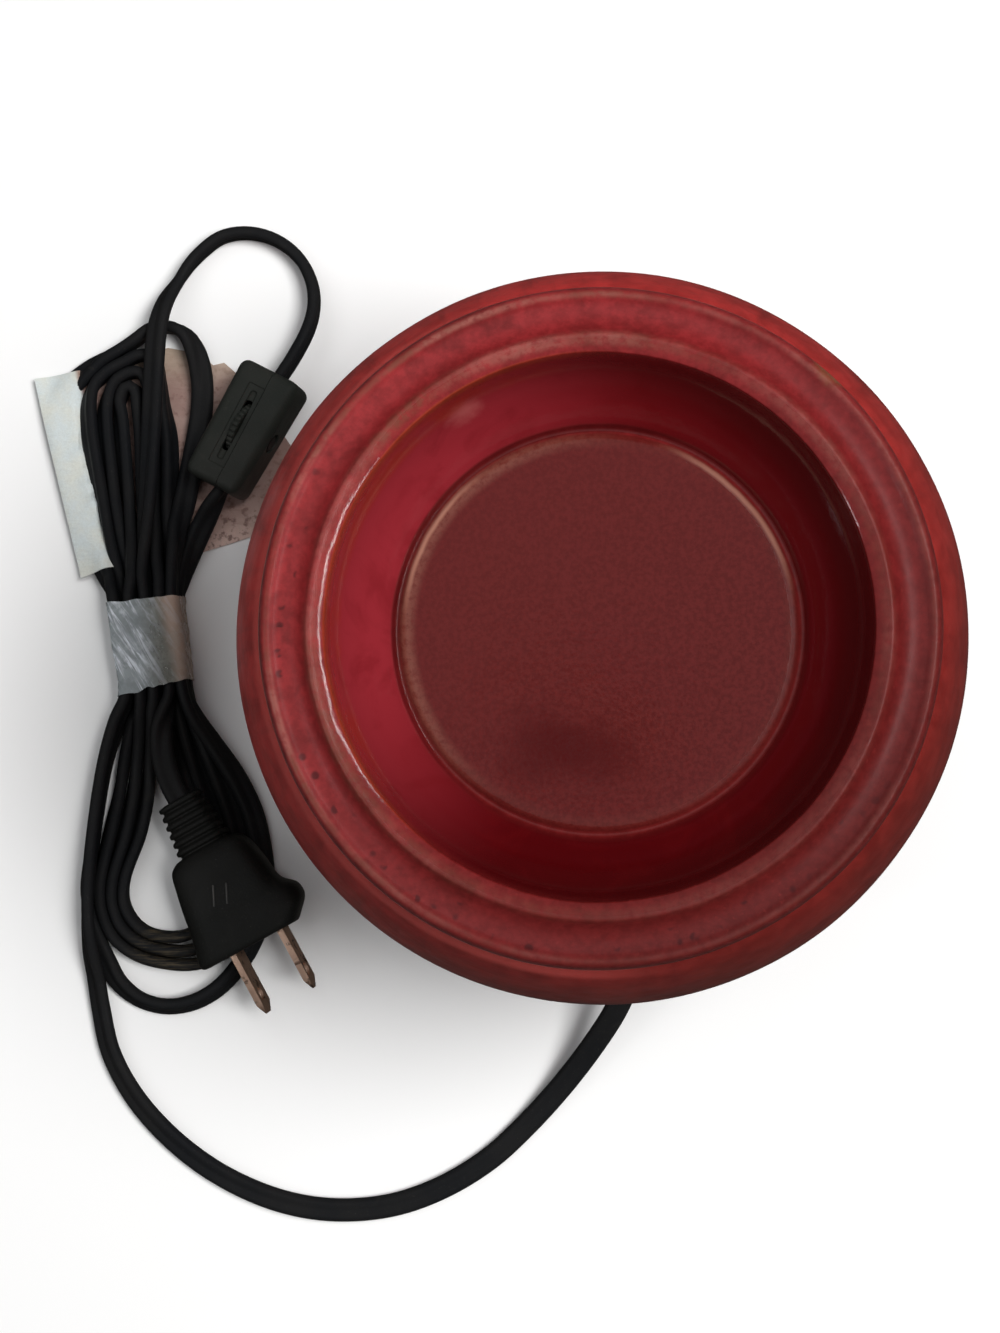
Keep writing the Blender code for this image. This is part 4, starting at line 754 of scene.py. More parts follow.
# Each point: x, y, height of the lowest point, lean of the flat (0 on edge, 90 lying flat)
CORD_A = [
    # out of the bushing and down to the table, wide bend
    (6.16, -75.0, 13.75, 90), (5.8, -78.0, 13.5, 90), (3.3, -84.0, 11.9, 90), (-1.6, -92.2, 8.0, 90), (-9.3, -102.9, 3.2, 90),
    (-18.4, -113.3, 0.5, 90), (-27.4, -121.6, 0.15, 90), (-38.4, -128.4, 0.15, 90), (-49.5, -132.6, 0.15, 90),
    (-60.5, -134.2, 0.15, 90), (-71.1, -133.7, 0.15, 88), (-81.9, -131.0, 0.15, 84), (-94.0, -125.3, 0.15, 78),
    (-104.9, -117.2, 0.15, 70), (-114.0, -107.1, 0.15, 62), (-119.8, -96.4, 0.15, 56), (-122.3, -85.5, 0.2, 52),
    # S: up the left side, over the outer bottom loop
    (-123.2, -78.0, 1.6, 46), (-123.9, -72.0, 4.0, 34), (-124.2, -65.5, 5.7, 18), (-124.1, -57.0, 6.1, 6),
    (-122.9, -43.0, 6.1, 3), (-120.0, -25.0, 6.2, 2), (-117.2, -15.5, 6.4, 0),
    *waist(-2, True, False),
    # T1: lies flat under the left leaf of the tag, then turns on edge over the top
    (-119.8, 19.6, 2.9, 56), (-123.3, 26.0, 0.7, 80), (-126.5, 32.5, 0.3, 88), (-129.3, 40.0, 0.2, 90), (-131.4, 48.0, 0.2, 90),
    (-132.7, 56.0, 0.2, 90), (-132.5, 61.5, 0.2, 88), (-130.5, 66.2, 0.3, 84), (-125.9, 70.4, 0.6, 56), (-122.0, 73.1, 0.8, 22),
    (-117.7, 75.2, 0.9, 4), (-114.0, 77.6, 0.9, 0), (-110.2, 80.3, 0.9, 0), (-105.9, 80.8, 0.9, 0), (-102.0, 79.2, 0.9, 16),
    (-99.3, 74.6, 0.9, 50), (-97.9, 68.0, 0.8, 78), (-97.9, 61.0, 0.8, 88), (-98.8, 54.0, 0.9, 88), (-100.1, 46.5, 1.0, 84),
    (-101.5, 38.5, 1.6, 76), (-102.5, 31.0, 3.9, 50), (-103.2, 24.5, 6.1, 14), (-103.6, 19.0, 6.6, 0),
    *waist(2, True, True),
    # X': outermost strand on the right, round the outer bottom loop
    (-98.9, -14.5, 5.2, 15), (-94.6, -21.5, 2.6, 34), (-89.4, -30.0, 0.8, 62), (-85.8, -38.0, 0.2, 74), (-83.6, -46.0, 0.2, 66),
    (-82.4, -54.0, 0.2, 52), (-82.6, -61.0, 0.2, 42), (-84.6, -68.5, 0.2, 36), (-88.6, -75.6, 0.2, 32), (-93.9, -81.2, 0.2, 30),
    (-100.0, -84.4, 0.2, 30), (-106.2, -85.2, 0.2, 30), (-112.2, -83.6, 0.2, 36), (-117.2, -79.8, 0.2, 50), (-120.6, -74.4, 0.2, 66),
    (-123.2, -67.5, 0.2, 48), (-125.2, -58.0, 0.2, 10), (-123.7, -44.0, 0.2, 4), (-120.9, -26.0, 0.3, 2), (-117.4, -15.5, 0.7, 0),
    *waist(-2, False, False),
    # T2
    (-118.2, 20.0, 1.0, 6), (-120.5, 28.0, 0.9, 14), (-122.4, 37.0, 0.9, 26), (-124.5, 47.0, 0.9, 40), (-126.0, 56.0, 0.9, 44),
    (-126.1, 62.0, 0.9, 36), (-124.8, 66.4, 0.9, 14), (-121.6, 69.7, 0.9, 0), (-117.6, 71.9, 0.9, 0), (-112.9, 74.0, 0.9, 0),
    (-109.6, 72.6, 0.9, 0), (-108.4, 67.8, 0.9, 0), (-107.6, 61.5, 0.9, 12), (-106.2, 54.0, 0.9, 28), (-105.9, 46.0, 0.9, 30),
    (-106.2, 37.0, 0.9, 20), (-106.2, 28.0, 0.9, 6), (-106.4, 20.5, 1.0, 0),
    *waist(1, False, True),
    # P2'
    (-102.6, -15.0, 0.8, 14), (-100.6, -21.5, 0.5, 34), (-97.6, -30.0, 0.2, 66), (-94.6, -38.5, 0.2, 70), (-92.3, -46.5, 0.2, 50),
    (-91.0, -54.5, 0.2, 26), (-91.5, -62.0, 0.2, 10), (-94.8, -68.4, 0.2, 4), (-100.2, -71.5, 0.2, 0), (-106.4, -71.5, 0.2, 0),
    (-112.0, -70.0, 0.2, 0), (-116.6, -66.8, 0.2, 0), (-119.3, -61.8, 0.2, 0), (-119.8, -55.5, 0.2, 8), (-116.6, -43.0, 0.2, 26),
    (-114.6, -34.0, 0.2, 22), (-113.4, -26.0, 0.6, 10), (-112.2, -19.5, 2.8, 2), (-111.4, -14.0, 5.4, 0),
    *waist(-1, True, False),
    # T4
    (-113.3, 19.0, 5.8, 4), (-113.7, 26.0, 3.4, 8), (-115.0, 33.5, 1.2, 16), (-116.2, 42.0, 0.9, 34), (-117.2, 51.0, 0.9, 40),
    (-117.8, 58.5, 0.9, 34), (-117.9, 63.5, 0.9, 8), (-116.1, 66.6, 0.9, 0), (-114.2, 65.4, 0.9, 0), (-113.5, 61.0, 0.9, 0),
    (-112.8, 54.5, 0.9, 0), (-112.4, 46.0, 0.9, 0), (-112.1, 38.0, 0.9, 0), (-111.4, 29.0, 0.9, 0), (-110.6, 20.5, 1.0, 0),
    *waist(0, False, True),
    # P3'
    (-106.5, -15.0, 0.8, 14), (-104.9, -21.5, 0.5, 34), (-102.3, -29.5, 0.2, 66), (-99.1, -38.0, 0.2, 68), (-96.3, -46.0, 0.2, 44),
    (-94.4, -53.5, 0.2, 18), (-94.6, -60.0, 0.2, 4), (-97.0, -65.2, 0.2, 0), (-101.6, -68.0, 0.2, 0), (-106.8, -68.3, 0.2, 0),
    (-111.3, -67.0, 0.2, 0), (-114.7, -64.0, 0.2, 0), (-116.7, -59.6, 0.2, 0), (-116.4, -54.0, 0.2, 8), (-112.9, -43.0, 0.2, 28),
    (-110.9, -34.0, 0.3, 26), (-110.0, -26.0, 0.9, 14), (-109.0, -19.5, 2.9, 4), (-108.2, -14.0, 5.4, 0),
    *waist(0, True, False),
    # F: the strand on top, lying flat, and on round the single turn to the switch
    (-111.4, 20.0, 6.6, 16), (-111.3, 28.0, 6.6, 38), (-110.6, 38.0, 6.6, 56), (-109.9, 50.0, 6.6, 64), (-109.4, 60.0, 6.6, 66),
    (-109.0, 69.0, 6.6, 68), (-108.5, 76.5, 6.6, 66), (-107.6, 82.2, 6.4, 56), (-106.2, 87.4, 4.0, 40), (-103.7, 92.2, 1.4, 18),
    (-101.0, 96.6, 0.3, 4), (-97.6, 100.1, 0.2, 0), (-93.5, 103.0, 0.2, 0), (-88.5, 104.1, 0.2, 0), (-83.1, 103.5, 0.2, 0),
    (-77.7, 101.0, 0.2, 0), (-73.4, 96.8, 0.4, 0), (-70.8, 91.3, 1.2, 0), (-70.1, 85.6, 2.4, 2), (-71.3, 79.4, 4.0, 5),
    (-75.1, 71.7, 5.3, 7), (-77.565, 67.889, 5.47, 7), (-78.97, 65.24, 5.47, 7),
]
CORD_B = [
    (-90.95, 42.61, 5.47, 7), (-92.35, 39.96, 5.47, 7), (-94.4, 36.8, 4.7, 36), (-96.9, 32.6, 3.2, 64), (-99.6, 27.3, 1.9, 64), (-101.7, 22.0, 1.1, 40), (-102.9, 17.5, 1.0, 12),
    *waist(2, False, True),
    # P1'
    (-99.6, -14.5, 0.8, 14), (-96.7, -21.5, 0.5, 34), (-93.2, -30.0, 0.2, 64), (-90.1, -38.5, 0.2, 72), (-88.0, -46.5, 0.2, 60),
    (-86.8, -54.5, 0.2, 44), (-86.9, -62.0, 0.2, 30), (-89.4, -69.0, 0.2, 16), (-94.0, -73.4, 0.2, 6), (-99.8, -75.0, 0.2, 0),
    (-106.4, -74.7, 0.2, 0), (-112.9, -73.0, 0.2, 0), (-118.5, -69.2, 0.2, 0), (-121.8, -63.4, 0.2, 4), (-122.7, -56.0, 0.2, 12),
    (-120.2, -43.0, 0.2, 24), (-118.0, -34.0, 0.2, 18), (-116.6, -26.0, 0.4, 8), (-114.4, -16.5, 0.8, 0),
    *waist(-1, False, False),
    # T3
    (-114.6, 20.5, 1.0, 6), (-117.0, 28.5, 0.9, 12), (-119.0, 37.0, 0.9, 22), (-120.8, 47.0, 0.9, 40), (-121.9, 56.0, 0.9, 44),
    (-121.7, 62.0, 0.9, 30), (-119.6, 67.2, 0.9, 4), (-116.2, 69.7, 0.9, 0), (-112.9, 69.8, 0.9, 0), (-111.2, 66.6, 0.9, 0),
    (-110.4, 61.0, 0.9, 8), (-109.6, 54.0, 0.9, 26), (-109.4, 46.0, 0.9, 28), (-109.4, 38.0, 1.0, 18), (-109.0, 31.0, 2.4, 6),
    (-108.3, 24.5, 4.6, 0), (-107.3, 19.0, 6.2, 0),
    *waist(1, True, True),
    # P: the tail into the plug
    (-105.2, -13.4, 7.2, 26), (-106.0, -18.0, 9.0, 60), (-105.3, -24.6, 11.0, 84), (-103.2, -30.8, 11.9, 85), (-101.298, -34.28, 11.98, 85), (-100.34, -36.03, 11.98, 85),
]


def catmull(pts, spacing):
    p = [np.array(q, float) for q in pts]
    p = [2 * p[0] - p[1]] + p + [2 * p[-1] - p[-2]]
    out = []
    for k in range(1, len(p) - 2):
        a, b, c, d = p[k - 1], p[k], p[k + 1], p[k + 2]
        def dist(u, v):
            return max(np.linalg.norm((v - u)[:3]), 1e-6) ** 0.5
        t0 = 0.0; t1 = t0 + dist(a, b); t2 = t1 + dist(b, c); t3 = t2 + dist(c, d)
        for i in range(20):
            t = t1 + (t2 - t1) * i / 20
            a1 = a * ((t1 - t) / (t1 - t0)) + b * ((t - t0) / (t1 - t0))
            a2 = b * ((t2 - t) / (t2 - t1)) + c * ((t - t1) / (t2 - t1))
            a3 = c * ((t3 - t) / (t3 - t2)) + d * ((t - t2) / (t3 - t2))
            b1 = a1 * ((t2 - t) / (t2 - t0)) + a2 * ((t - t0) / (t2 - t0))
            b2 = a2 * ((t3 - t) / (t3 - t1)) + a3 * ((t - t1) / (t3 - t1))
            out.append(b1 * ((t2 - t) / (t2 - t1)) + b2 * ((t - t1) / (t2 - t1)))
    out.append(p[-2])
    out = np.array(out)
    s = np.concatenate([[0], np.cumsum(np.linalg.norm(np.diff(out[:, :3], axis=0), axis=1))])
    n = int(round(s[-1] / spacing))
    t = np.linspace(0, s[-1], n + 1)
    return np.stack([np.interp(t, s, out[:, j]) for j in range(out.shape[1])], axis=1), s[-1]


def lay(points, spacing=1.6):
    """Centres and the two cores' centres along a flat cord."""
    pts = []
    for x, y, b, tilt in points:
        pts.append((x, y, b + CORE_R + CORE_OFF * abs(math.cos(math.radians(tilt))), tilt))
    q, length = catmull(pts, spacing)
    c = q[:, :3]
    tilt = np.radians(q[:, 3])
    t = np.gradient(c, axis=0)
    t /= np.linalg.norm(t, axis=1)[:, None]
    up = np.tile([0.0, 0.0, 1.0], (len(c), 1))
    side = np.cross(t, up)
    side /= np.linalg.norm(side, axis=1)[:, None]
    upn = np.cross(side, t)
    w = upn * np.cos(tilt)[:, None] + side * np.sin(tilt)[:, None]
    return c, w, length


def settle(cords, pins, rounds=260, spacing=1.6, floor=0.15, reach=5):
    """Push the strands apart until their cores only touch; the shift stays smooth along
    each cord.  cords is a list of (centres, width directions); pins a list of (first, last)
    counts of points that don't move."""
    start, offs, cid, idx = [], [], [], []
    for k, (c, w) in enumerate(cords):
        start.append(np.concatenate([c + w * CORE_OFF, c - w * CORE_OFF]))
        cid += [k] * (2 * len(c))
        idx += list(range(len(c))) * 2
    p0 = np.concatenate(start)
    cid = np.array(cid); idx = np.array(idx)
    d = np.zeros_like(p0)
    hold = np.ones(len(p0))
    base = 0
    blocks = []
    for k, (c, w) in enumerate(cords):
        n = len(c)
        f = np.ones(n)
        a, b = pins[k]
        for i in range(n):
            f[i] = min(1.0, max(0, i - a) / 12.0, max(0, n - 1 - i - b) / 12.0) if a or b else 1.0
        hold[base:base + n] = f
        hold[base + n:base + 2 * n] = f
        blocks.append((base, n)); blocks.append((base + n, n))
        base += 2 * n
    partner = np.zeros(len(p0), int)
    for j in range(0, len(blocks), 2):
        (a, n), (b, _) = blocks[j], blocks[j + 1]
        partner[a:a + n] = np.arange(b, b + n)
        partner[b:b + n] = np.arange(a, a + n)
    kern = np.hanning(2 * reach + 3)[1:-1]
    kern /= kern.sum()
    gap = int(round(9.0 / spacing))
    pairs = None
    for r in range(rounds):
        p = p0 + d
        if r % 12 == 0:
            aa, bb = [], []
            for s in range(0, len(p), 400):
                q = p[s:s + 400]
                dist2 = ((q[:, None, :] - p[None, :, :]) ** 2).sum(2)
                i, j = np.nonzero(dist2 < 5.5 ** 2)
                i = i + s
                ok = (i < j) & ((cid[i] != cid[j]) | (np.abs(idx[i] - idx[j]) > gap))
                aa.append(i[ok]); bb.append(j[ok])
            pairs = (np.concatenate(aa), np.concatenate(bb))
        i, j = pairs
        v = p[j] - p[i]
        L = np.linalg.norm(v, axis=1)
        L = np.maximum(L, 1e-6)
        over = np.maximum(0.0, 2 * CORE_R + 0.04 - L)
        push = v / L[:, None] * (over * 0.5)[:, None]
        acc = np.zeros_like(p)
        cnt = np.zeros(len(p))
        np.add.at(acc, i, -push)
        np.add.at(acc, j, push)
        hit = over > 0
        np.add.at(cnt, i[hit], 1.0)
        np.add.at(cnt, j[hit], 1.0)
        d += acc / np.maximum(1.0, cnt * 0.45)[:, None]
        low = np.maximum(0.0, CORE_R + floor - (p0 + d)[:, 2])
        d[:, 2] += low
        # the two cores stay side by side
        p = p0 + d
        v = p[partner] - p
        L = np.linalg.norm(v, axis=1)
        d += v / L[:, None] * ((L - 2 * CORE_OFF) * 0.5)[:, None]
        d *= hold[:, None]
        if r < rounds - 12:
            for a, n in blocks:
                seg = np.pad(d[a:a + n], ((reach, reach), (0, 0)), mode="edge")
                sm = np.stack([np.convolve(seg[:, q], kern, mode="valid") for q in range(3)], axis=1)
                d[a:a + n] = d[a:a + n] * 0.35 + sm * 0.65
            d *= 0.9985
    p = p0 + d
    out = []
    base = 0
    for c, w in cords:
        n = len(c)
        a, b = p[base:base + n], p[base + n:base + 2 * n]
        base += 2 * n
        cc = (a + b) / 2
        ww = a - b
        ww /= np.linalg.norm(ww, axis=1)[:, None]
        out.append((cc, ww))
    i, j = pairs
    L = np.linalg.norm(p[j] - p[i], axis=1)
    return out, L.min(), int((L < 2 * CORE_R - 0.15).sum()), np.abs(d).max()


# ---- the two runs as meshes
def cord_mesh(name, c, w, mat, ring=20):
    """Figure-eight section: two round cores joined by a narrow web."""
    t = np.gradient(c, axis=0)
    t /= np.linalg.norm(t, axis=1)[:, None]
    n = np.cross(t, w)
    n /= np.linalg.norm(n, axis=1)[:, None]
    w = np.cross(n, t)
    sec = []
    waist_h = 0.86
    for i in range(ring):
        a = 2 * math.pi * (i + 0.5) / ring
        ca, sa = math.cos(a), math.sin(a)
        x = ca * (CORD_HALF_W)
        # outline of two circles, the dip between them filled to the web
        inside = CORE_R ** 2 - (abs(x) - CORE_OFF) ** 2
        y = math.sqrt(max(inside, 0.0)) if abs(x) > 0.62 else None
        if y is None:
            edge = math.sqrt(CORE_R ** 2 - (0.62 - CORE_OFF) ** 2)
            y = waist_h + (edge - waist_h) * (abs(x) / 0.62) ** 2
        sec.append((x, math.copysign(y, sa)))
    verts = (c[:, None, :] + w[:, None, :] * np.array(sec)[None, :, 0:1]
             + n[:, None, :] * np.array(sec)[None, :, 1:2]).reshape(-1, 3)
    m = len(c)
    faces = []
    for k in range(m - 1):
        a, b = k * ring, (k + 1) * ring
        for i in range(ring):
            j = (i + 1) % ring
            faces.append((a + i, a + j, b + j, b + i))
    faces.append(tuple(range(ring))[::-1])
    faces.append(tuple(range((m - 1) * ring, m * ring)))
    return mesh_object(name, [tuple(v) for v in verts], faces, [mat], True, 50)


# ---------------------------------------------------------------- lay the cord
ca, wa, _ = lay(CORD_A)
cb, wb, _ = lay(CORD_B)
((ca, wa), (cb, wb)), _, _, _ = settle([(ca, wa), (cb, wb)], [(45, 26), (5, 5)])


cord_a = cord_mesh("cord_to_switch", ca, wa, m_cord)
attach(cord_a, BASE)
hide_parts("cord_lead", "cord_hank", "cord_top_loop")
cord_b = cord_mesh("cord_to_plug", cb, wb, m_cord)
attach(cord_b, BASE)
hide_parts("cord_switch_tail", "cord_plug_tail")

# ---------------------------------------------------------------- inline switch
SW_LEN, SW_H, SW_LEFT, SW_RIGHT, SW_SPLIT = 31.0, 13.0, 7.0, 8.6, 2.1
SW_CENTRE = (-86.8, 54.9, 8.0)
WHEEL_UP, WHEEL_R = 1.6, 6.4
ul = math.hypot(-0.468, -0.884)
U = Vector((-0.468 / ul, -0.884 / ul, 0.0))
W0 = Vector((-U.y, U.x, 0.0))
th = math.radians(7.0)
W = W0 * math.cos(th) + Vector((0, 0, 1)) * math.sin(th)
N = Vector((0, 0, 1)) * math.cos(th) - W0 * math.sin(th)
SWM = frame_matrix(SW_CENTRE, U, W, N)
SW_W = SW_LEFT + SW_RIGHT
mid = (SW_RIGHT - SW_LEFT) / 2


def spun(name, profile, seg, matrix):
    ob = lathe(name, profile, [m_case], seg=seg)
    ob.data.transform(matrix)
    ob.data.update()
    return ob


def turned(sign):
    return SWM @ Matrix.Translation((0, 0, WHEEL_UP * MM)) @ Matrix.Rotation(math.radians(-90 * sign), 4, "X")


def case_half(name, sign):
    side = SW_LEFT if sign < 0 else SW_RIGHT
    ob = rounded_box(name, (SW_LEN, SW_W, SW_H), (0, mid, 0), 2.3, [m_case], SWM, 6)
    tools = [
        rounded_box("t_split", (SW_LEN + 4, SW_W + 8, SW_H + 4), (0, SW_SPLIT - sign * ((SW_W + 8) / 2 - 0.06), 0), 0, [m_case], SWM),
        rounded_box("t_cavity", (SW_LEN - 4.4, SW_W - 4.0, SW_H - 2.6), (0, mid, 0), 0.8, [m_case], SWM, 2),
        rounded_box("t_slot", (13.4, 1.95, 6.0), (0, 0, SW_H / 2), 0.8, [m_case], SWM, 3),
        rounded_box("t_groove", (18.6, 1.95, 1.9), (0, 0, SW_H / 2), 0.8, [m_case], SWM, 3),
        rounded_box("t_cord", (SW_LEN + 4, 3.5, 6.1), (0, SW_SPLIT, 0), 1.2, [m_case], SWM, 3),
        spun("t_pivot", [(0, 0), (1.35, 0), (1.35, 12.0), (0, 12.0)], 32, turned(sign)),
        spun("t_recess", [(0, side - 0.8), (2.4, side - 0.8), (2.6, side - 0.1), (3.0, side + 2.0), (0, side + 2.0)], 32, turned(sign)),
        # shallow finger hollow round the slot
        rounded_box("t_hollow", (21.5, 4.6, 1.0), (0, 0, SW_H / 2 + 0.18), 0.45, [m_case], SWM, 3),
    ]
    boolean(ob, tools)
    if sign > 0:
        back = SWM.inverted()
        for v in ob.data.vertices:
            q = back @ v.co
            x, y = q.x / MM, q.y / MM
            q.y = (SW_SPLIT + (y - SW_SPLIT) * (1.0 - 0.0084 * x - 0.00021 * x * x)) * MM
            v.co = SWM @ q
        ob.data.update()
    mod = ob.modifiers.new("edge", "BEVEL")
    mod.width = 0.22 * MM
    mod.segments = 2
    mod.limit_method = "ANGLE"
    mod.angle_limit = math.radians(50)
    apply_modifiers(ob)
    shade(ob, True, 42)
    return ob


case_l = case_half("switch_shell_left", -1)
case_r = case_half("switch_shell_right", 1)
for ob, cad in ((case_l, "switch_case_left"), (case_r, "switch_case_right")):
    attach(ob, BASE)
    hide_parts(cad)

# the ribbed wheel
outline = []
teeth = 26
for i in range(teeth):
    for f, r in ((0.0, WHEEL_R - 0.42), (0.16, WHEEL_R - 0.10), (0.30, WHEEL_R), (0.62, WHEEL_R), (0.76, WHEEL_R - 0.10), (0.90, WHEEL_R - 0.42)):
        a = 2 * math.pi * (i + f) / teeth
        outline.append((r, a))
half = 0.8
rings = []
for z, k in ((-half, 0.955), (-half + 0.14, 0.985), (-half + 0.28, 1.0), (half - 0.28, 1.0), (half - 0.14, 0.985), (half, 0.955)):
    rings.append([(r * k * math.cos(a), r * k * math.sin(a), z) for r, a in outline])
for r0, z in ((4.6, half), (4.3, half - 0.25), (2.4, half - 0.25), (2.2, half), (1.2, half), (1.2, -half), (2.2, -half), (2.4, -half + 0.25),
              (4.3, -half + 0.25), (4.6, -half)):
    rings.append([(r0 * math.cos(a), r0 * math.sin(a), z) for r, a in outline])
wheel = loft("wheel_knurled", rings, [m_case], closed=True, angle=35,
             matrix=SWM @ Matrix.Translation((0, 0, WHEEL_UP * MM)) @ Matrix.Rotation(math.radians(-90), 4, "X"))
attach(wheel, WHEEL)
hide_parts("switch_wheel")

# ---------------------------------------------------------------- plug
PLUG_FRONT = (-81.6, -68.3, 13.6)
pl = math.hypot(0.48, 0.877)
PX = Vector((0.48 / pl, -0.877 / pl, 0.0))
PW0 = Vector((-PX.y, PX.x, 0.0))
roll = math.radians(5.0)
PW = PW0 * math.cos(roll) + Vector((0, 0, 1)) * math.sin(roll)
PN = Vector((0, 0, 1)) * math.cos(roll) - PW0 * math.sin(roll)
PM = frame_matrix(PLUG_FRONT, PX, PW, PN)
PLUG_LEN, BLADE_GAP, BLADE_OUT = 39.0, 12.7, 15.9

rows = []   # x along the plug, left, right half width, half thickness
rows += [(-PLUG_LEN, 5.2, 3.3, 2.7), (-PLUG_LEN + 0.12, 5.9, 4.0, 3.1)]
for k in range(6):
    x = -PLUG_LEN + 2.2 * k
    g = 0.22 * k
    rows += [(x + 0.30, 6.42 + g, 4.52 + g, 3.40 + g * 0.7), (x + 0.55, 6.56 + g, 4.66 + g, 3.50 + g * 0.7),
             (x + 1.00, 6.60 + g, 4.70 + g, 3.54 + g * 0.7), (x + 1.28, 6.48 + g, 4.58 + g, 3.44 + g * 0.7),
             (x + 1.48, 6.02 + g, 4.12 + g, 3.05 + g * 0.7), (x + 1.70, 5.90 + g, 4.00 + g, 2.95 + g * 0.7),
             (x + 1.95, 5.92 + g, 4.02 + g, 2.97 + g * 0.7), (x + 2.15, 6.10 + g, 4.20 + g, 3.12 + g * 0.7)]
body = [(-25.6, 8.6, 6.5, 4.35), (-24.9, 9.9, 7.6, 4.75), (-24.0, 10.8, 8.6, 5.2), (-22.4, 11.4, 9.4, 5.55), (-20.0, 11.9, 10.1, 5.75),
        (-16.0, 12.7, 10.8, 5.9), (-13.0, 13.2, 11.1, 6.0), (-11.5, 13.4, 11.5, 6.1), (-10.4, 13.55, 12.2, 6.2), (-9.6, 13.7, 13.1, 6.3),
        (-8.4, 13.9, 14.4, 6.4), (-7.0, 14.2, 14.95, 6.45), (-5.4, 14.5, 15.0, 6.5), (-4.2, 14.9, 14.5, 6.48), (-3.2, 15.15, 13.7, 6.4),
        (-2.2, 15.4, 12.7, 6.3), (-1.4, 15.5, 11.9, 6.2), (-0.8, 15.4, 11.3, 6.05), (-0.4, 15.1, 10.9, 5.8), (-0.1, 14.5, 10.4, 5.4),
        (0.0, 13.4, 9.4, 4.6)]
rows += [tuple(q) for q in catmull_open(body, 2)]


def plug_ring(x, left, right, b, n=72, p=3.2):
    out = []
    for i in range(n):
        t = 2 * math.pi * (i + 0.5) / n
        c, s = math.cos(t), math.sin(t)
        a = right if c > 0 else left
        out.append((x, a * math.copysign(abs(c) ** (2 / p), c), b * math.copysign(abs(s) ** (2 / p), s)))
    return out


plug = loft("plug_moulded", [plug_ring(*row) for row in rows], [m_plug], angle=60, matrix=PM)
cuts = []
for s, w in ((-1, 7.9), (1, 6.35)):
    cuts.append(rounded_box("t_blade", (14.0, 2.05, w + 0.55), (0.0, s * BLADE_GAP / 2, 0), 0.25, [m_plug], PM, 2))
boolean(plug, cuts)
shade(plug, True, 50)
# two short grip ridges on top of the body, coloured light grey as a painted highlight
for i, (x0, x1, y) in enumerate(((-17.1, -12.0, -3.1), (-16.1, -11.1, 0.0))):
    bar = rounded_box("plug_rib_%d" % (i + 1), (x1 - x0, 0.42, 0.6), (0, 0, 0), 0.18, [m_rib_glint],
                      PM @ Matrix.Translation(Vector(((x0 + x1) / 2, y, 5.93 + 0.02 * i)) * MM) @ Matrix.Rotation(math.radians(-26), 4, "Z"), 3)
    shade(bar, True)
    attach(bar, BASE)
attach(plug, BASE)
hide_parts("plug_body")


def blade(name, s, w):
    h = w / 2
    pts = [(-6.6, -h), (BLADE_OUT - 2.6, -h), (BLADE_OUT - 0.5, -h + 1.3), (BLADE_OUT, -h + 2.2), (BLADE_OUT, h - 2.2),
           (BLADE_OUT - 0.5, h - 1.3), (BLADE_OUT - 2.6, h), (-6.6, h)]
    y = s * BLADE_GAP / 2
    rings = []
    for dy in (-0.75, 0.75):
        ring = []
        for x, z in pts:
            t = 0.30 if x > BLADE_OUT - 1.0 else 1.0       # the tip is ground thinner
            ring.append((x, y + dy * t, z))
        rings.append(ring)
    ob = loft(name, rings, [m_blade], matrix=PM)
    hole = lathe("t_hole", [(0, -3), (1.6, -3), (1.6, 3), (0, 3)], [m_blade], seg=28)
    hole.data.transform(PM @ Matrix.Translation(((BLADE_OUT - 4.8) * MM, y * MM, 0)) @ Matrix.Rotation(math.radians(90), 4, "X"))
    boolean(ob, [hole])
    mod = ob.modifiers.new("edge", "BEVEL")
    mod.width = 0.16 * MM
    mod.segments = 2
    mod.limit_method = "ANGLE"
    mod.angle_limit = math.radians(40)
    apply_modifiers(ob)
    shade(ob, True, 35)
    return ob


blade_w = blade("blade_left", -1, 7.9)
blade_n = blade("blade_right", 1, 6.35)
for ob, cad in ((blade_w, "plug_blade_wide"), (blade_n, "plug_blade_narrow")):
    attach(ob, BASE)
    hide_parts(cad)

# ---------------------------------------------------------------- bushing where the cord leaves the pot
ex = Vector(EXIT_DIR).normalized()
prof = [(0, -11.0), (5.9, -11.0), (6.3, -10.9), (6.55, -10.5), (6.6, -9.0), (6.4, -8.3), (4.4, -8.0), (4.2, -7.6), (4.2, 4.2),
        (4.4, 4.5), (5.6, 4.85), (6.05, 5.2), (6.2, 5.8), (6.15, 6.9), (5.9, 7.5), (5.2, 8.0), (4.7, 8.25)]
for k in range(5):
    r = 4.6 - 0.28 * k
    z = 8.7 + 2.8 * k
    prof += [(r - 0.15, z), (r, z + 0.25), (r, z + 1.0), (r - 0.12, z + 1.3), (r - 0.7, z + 1.6), (r - 0.8, z + 2.3), (r - 0.62, z + 2.65)]
prof += [(2.95, 22.2), (2.85, 22.7), (2.6, 23.0), (0, 23.0)]
relief = lathe("bushing_ribbed", prof, [m_plug], seg=40, angle=45)
relief.data.transform(Matrix.Translation(Vector(HOLE_AT) * MM) @ Vector((0, 0, 1)).rotation_difference(ex).to_matrix().to_4x4())
relief.data.update()
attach(relief, BASE)
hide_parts("strain_relief")

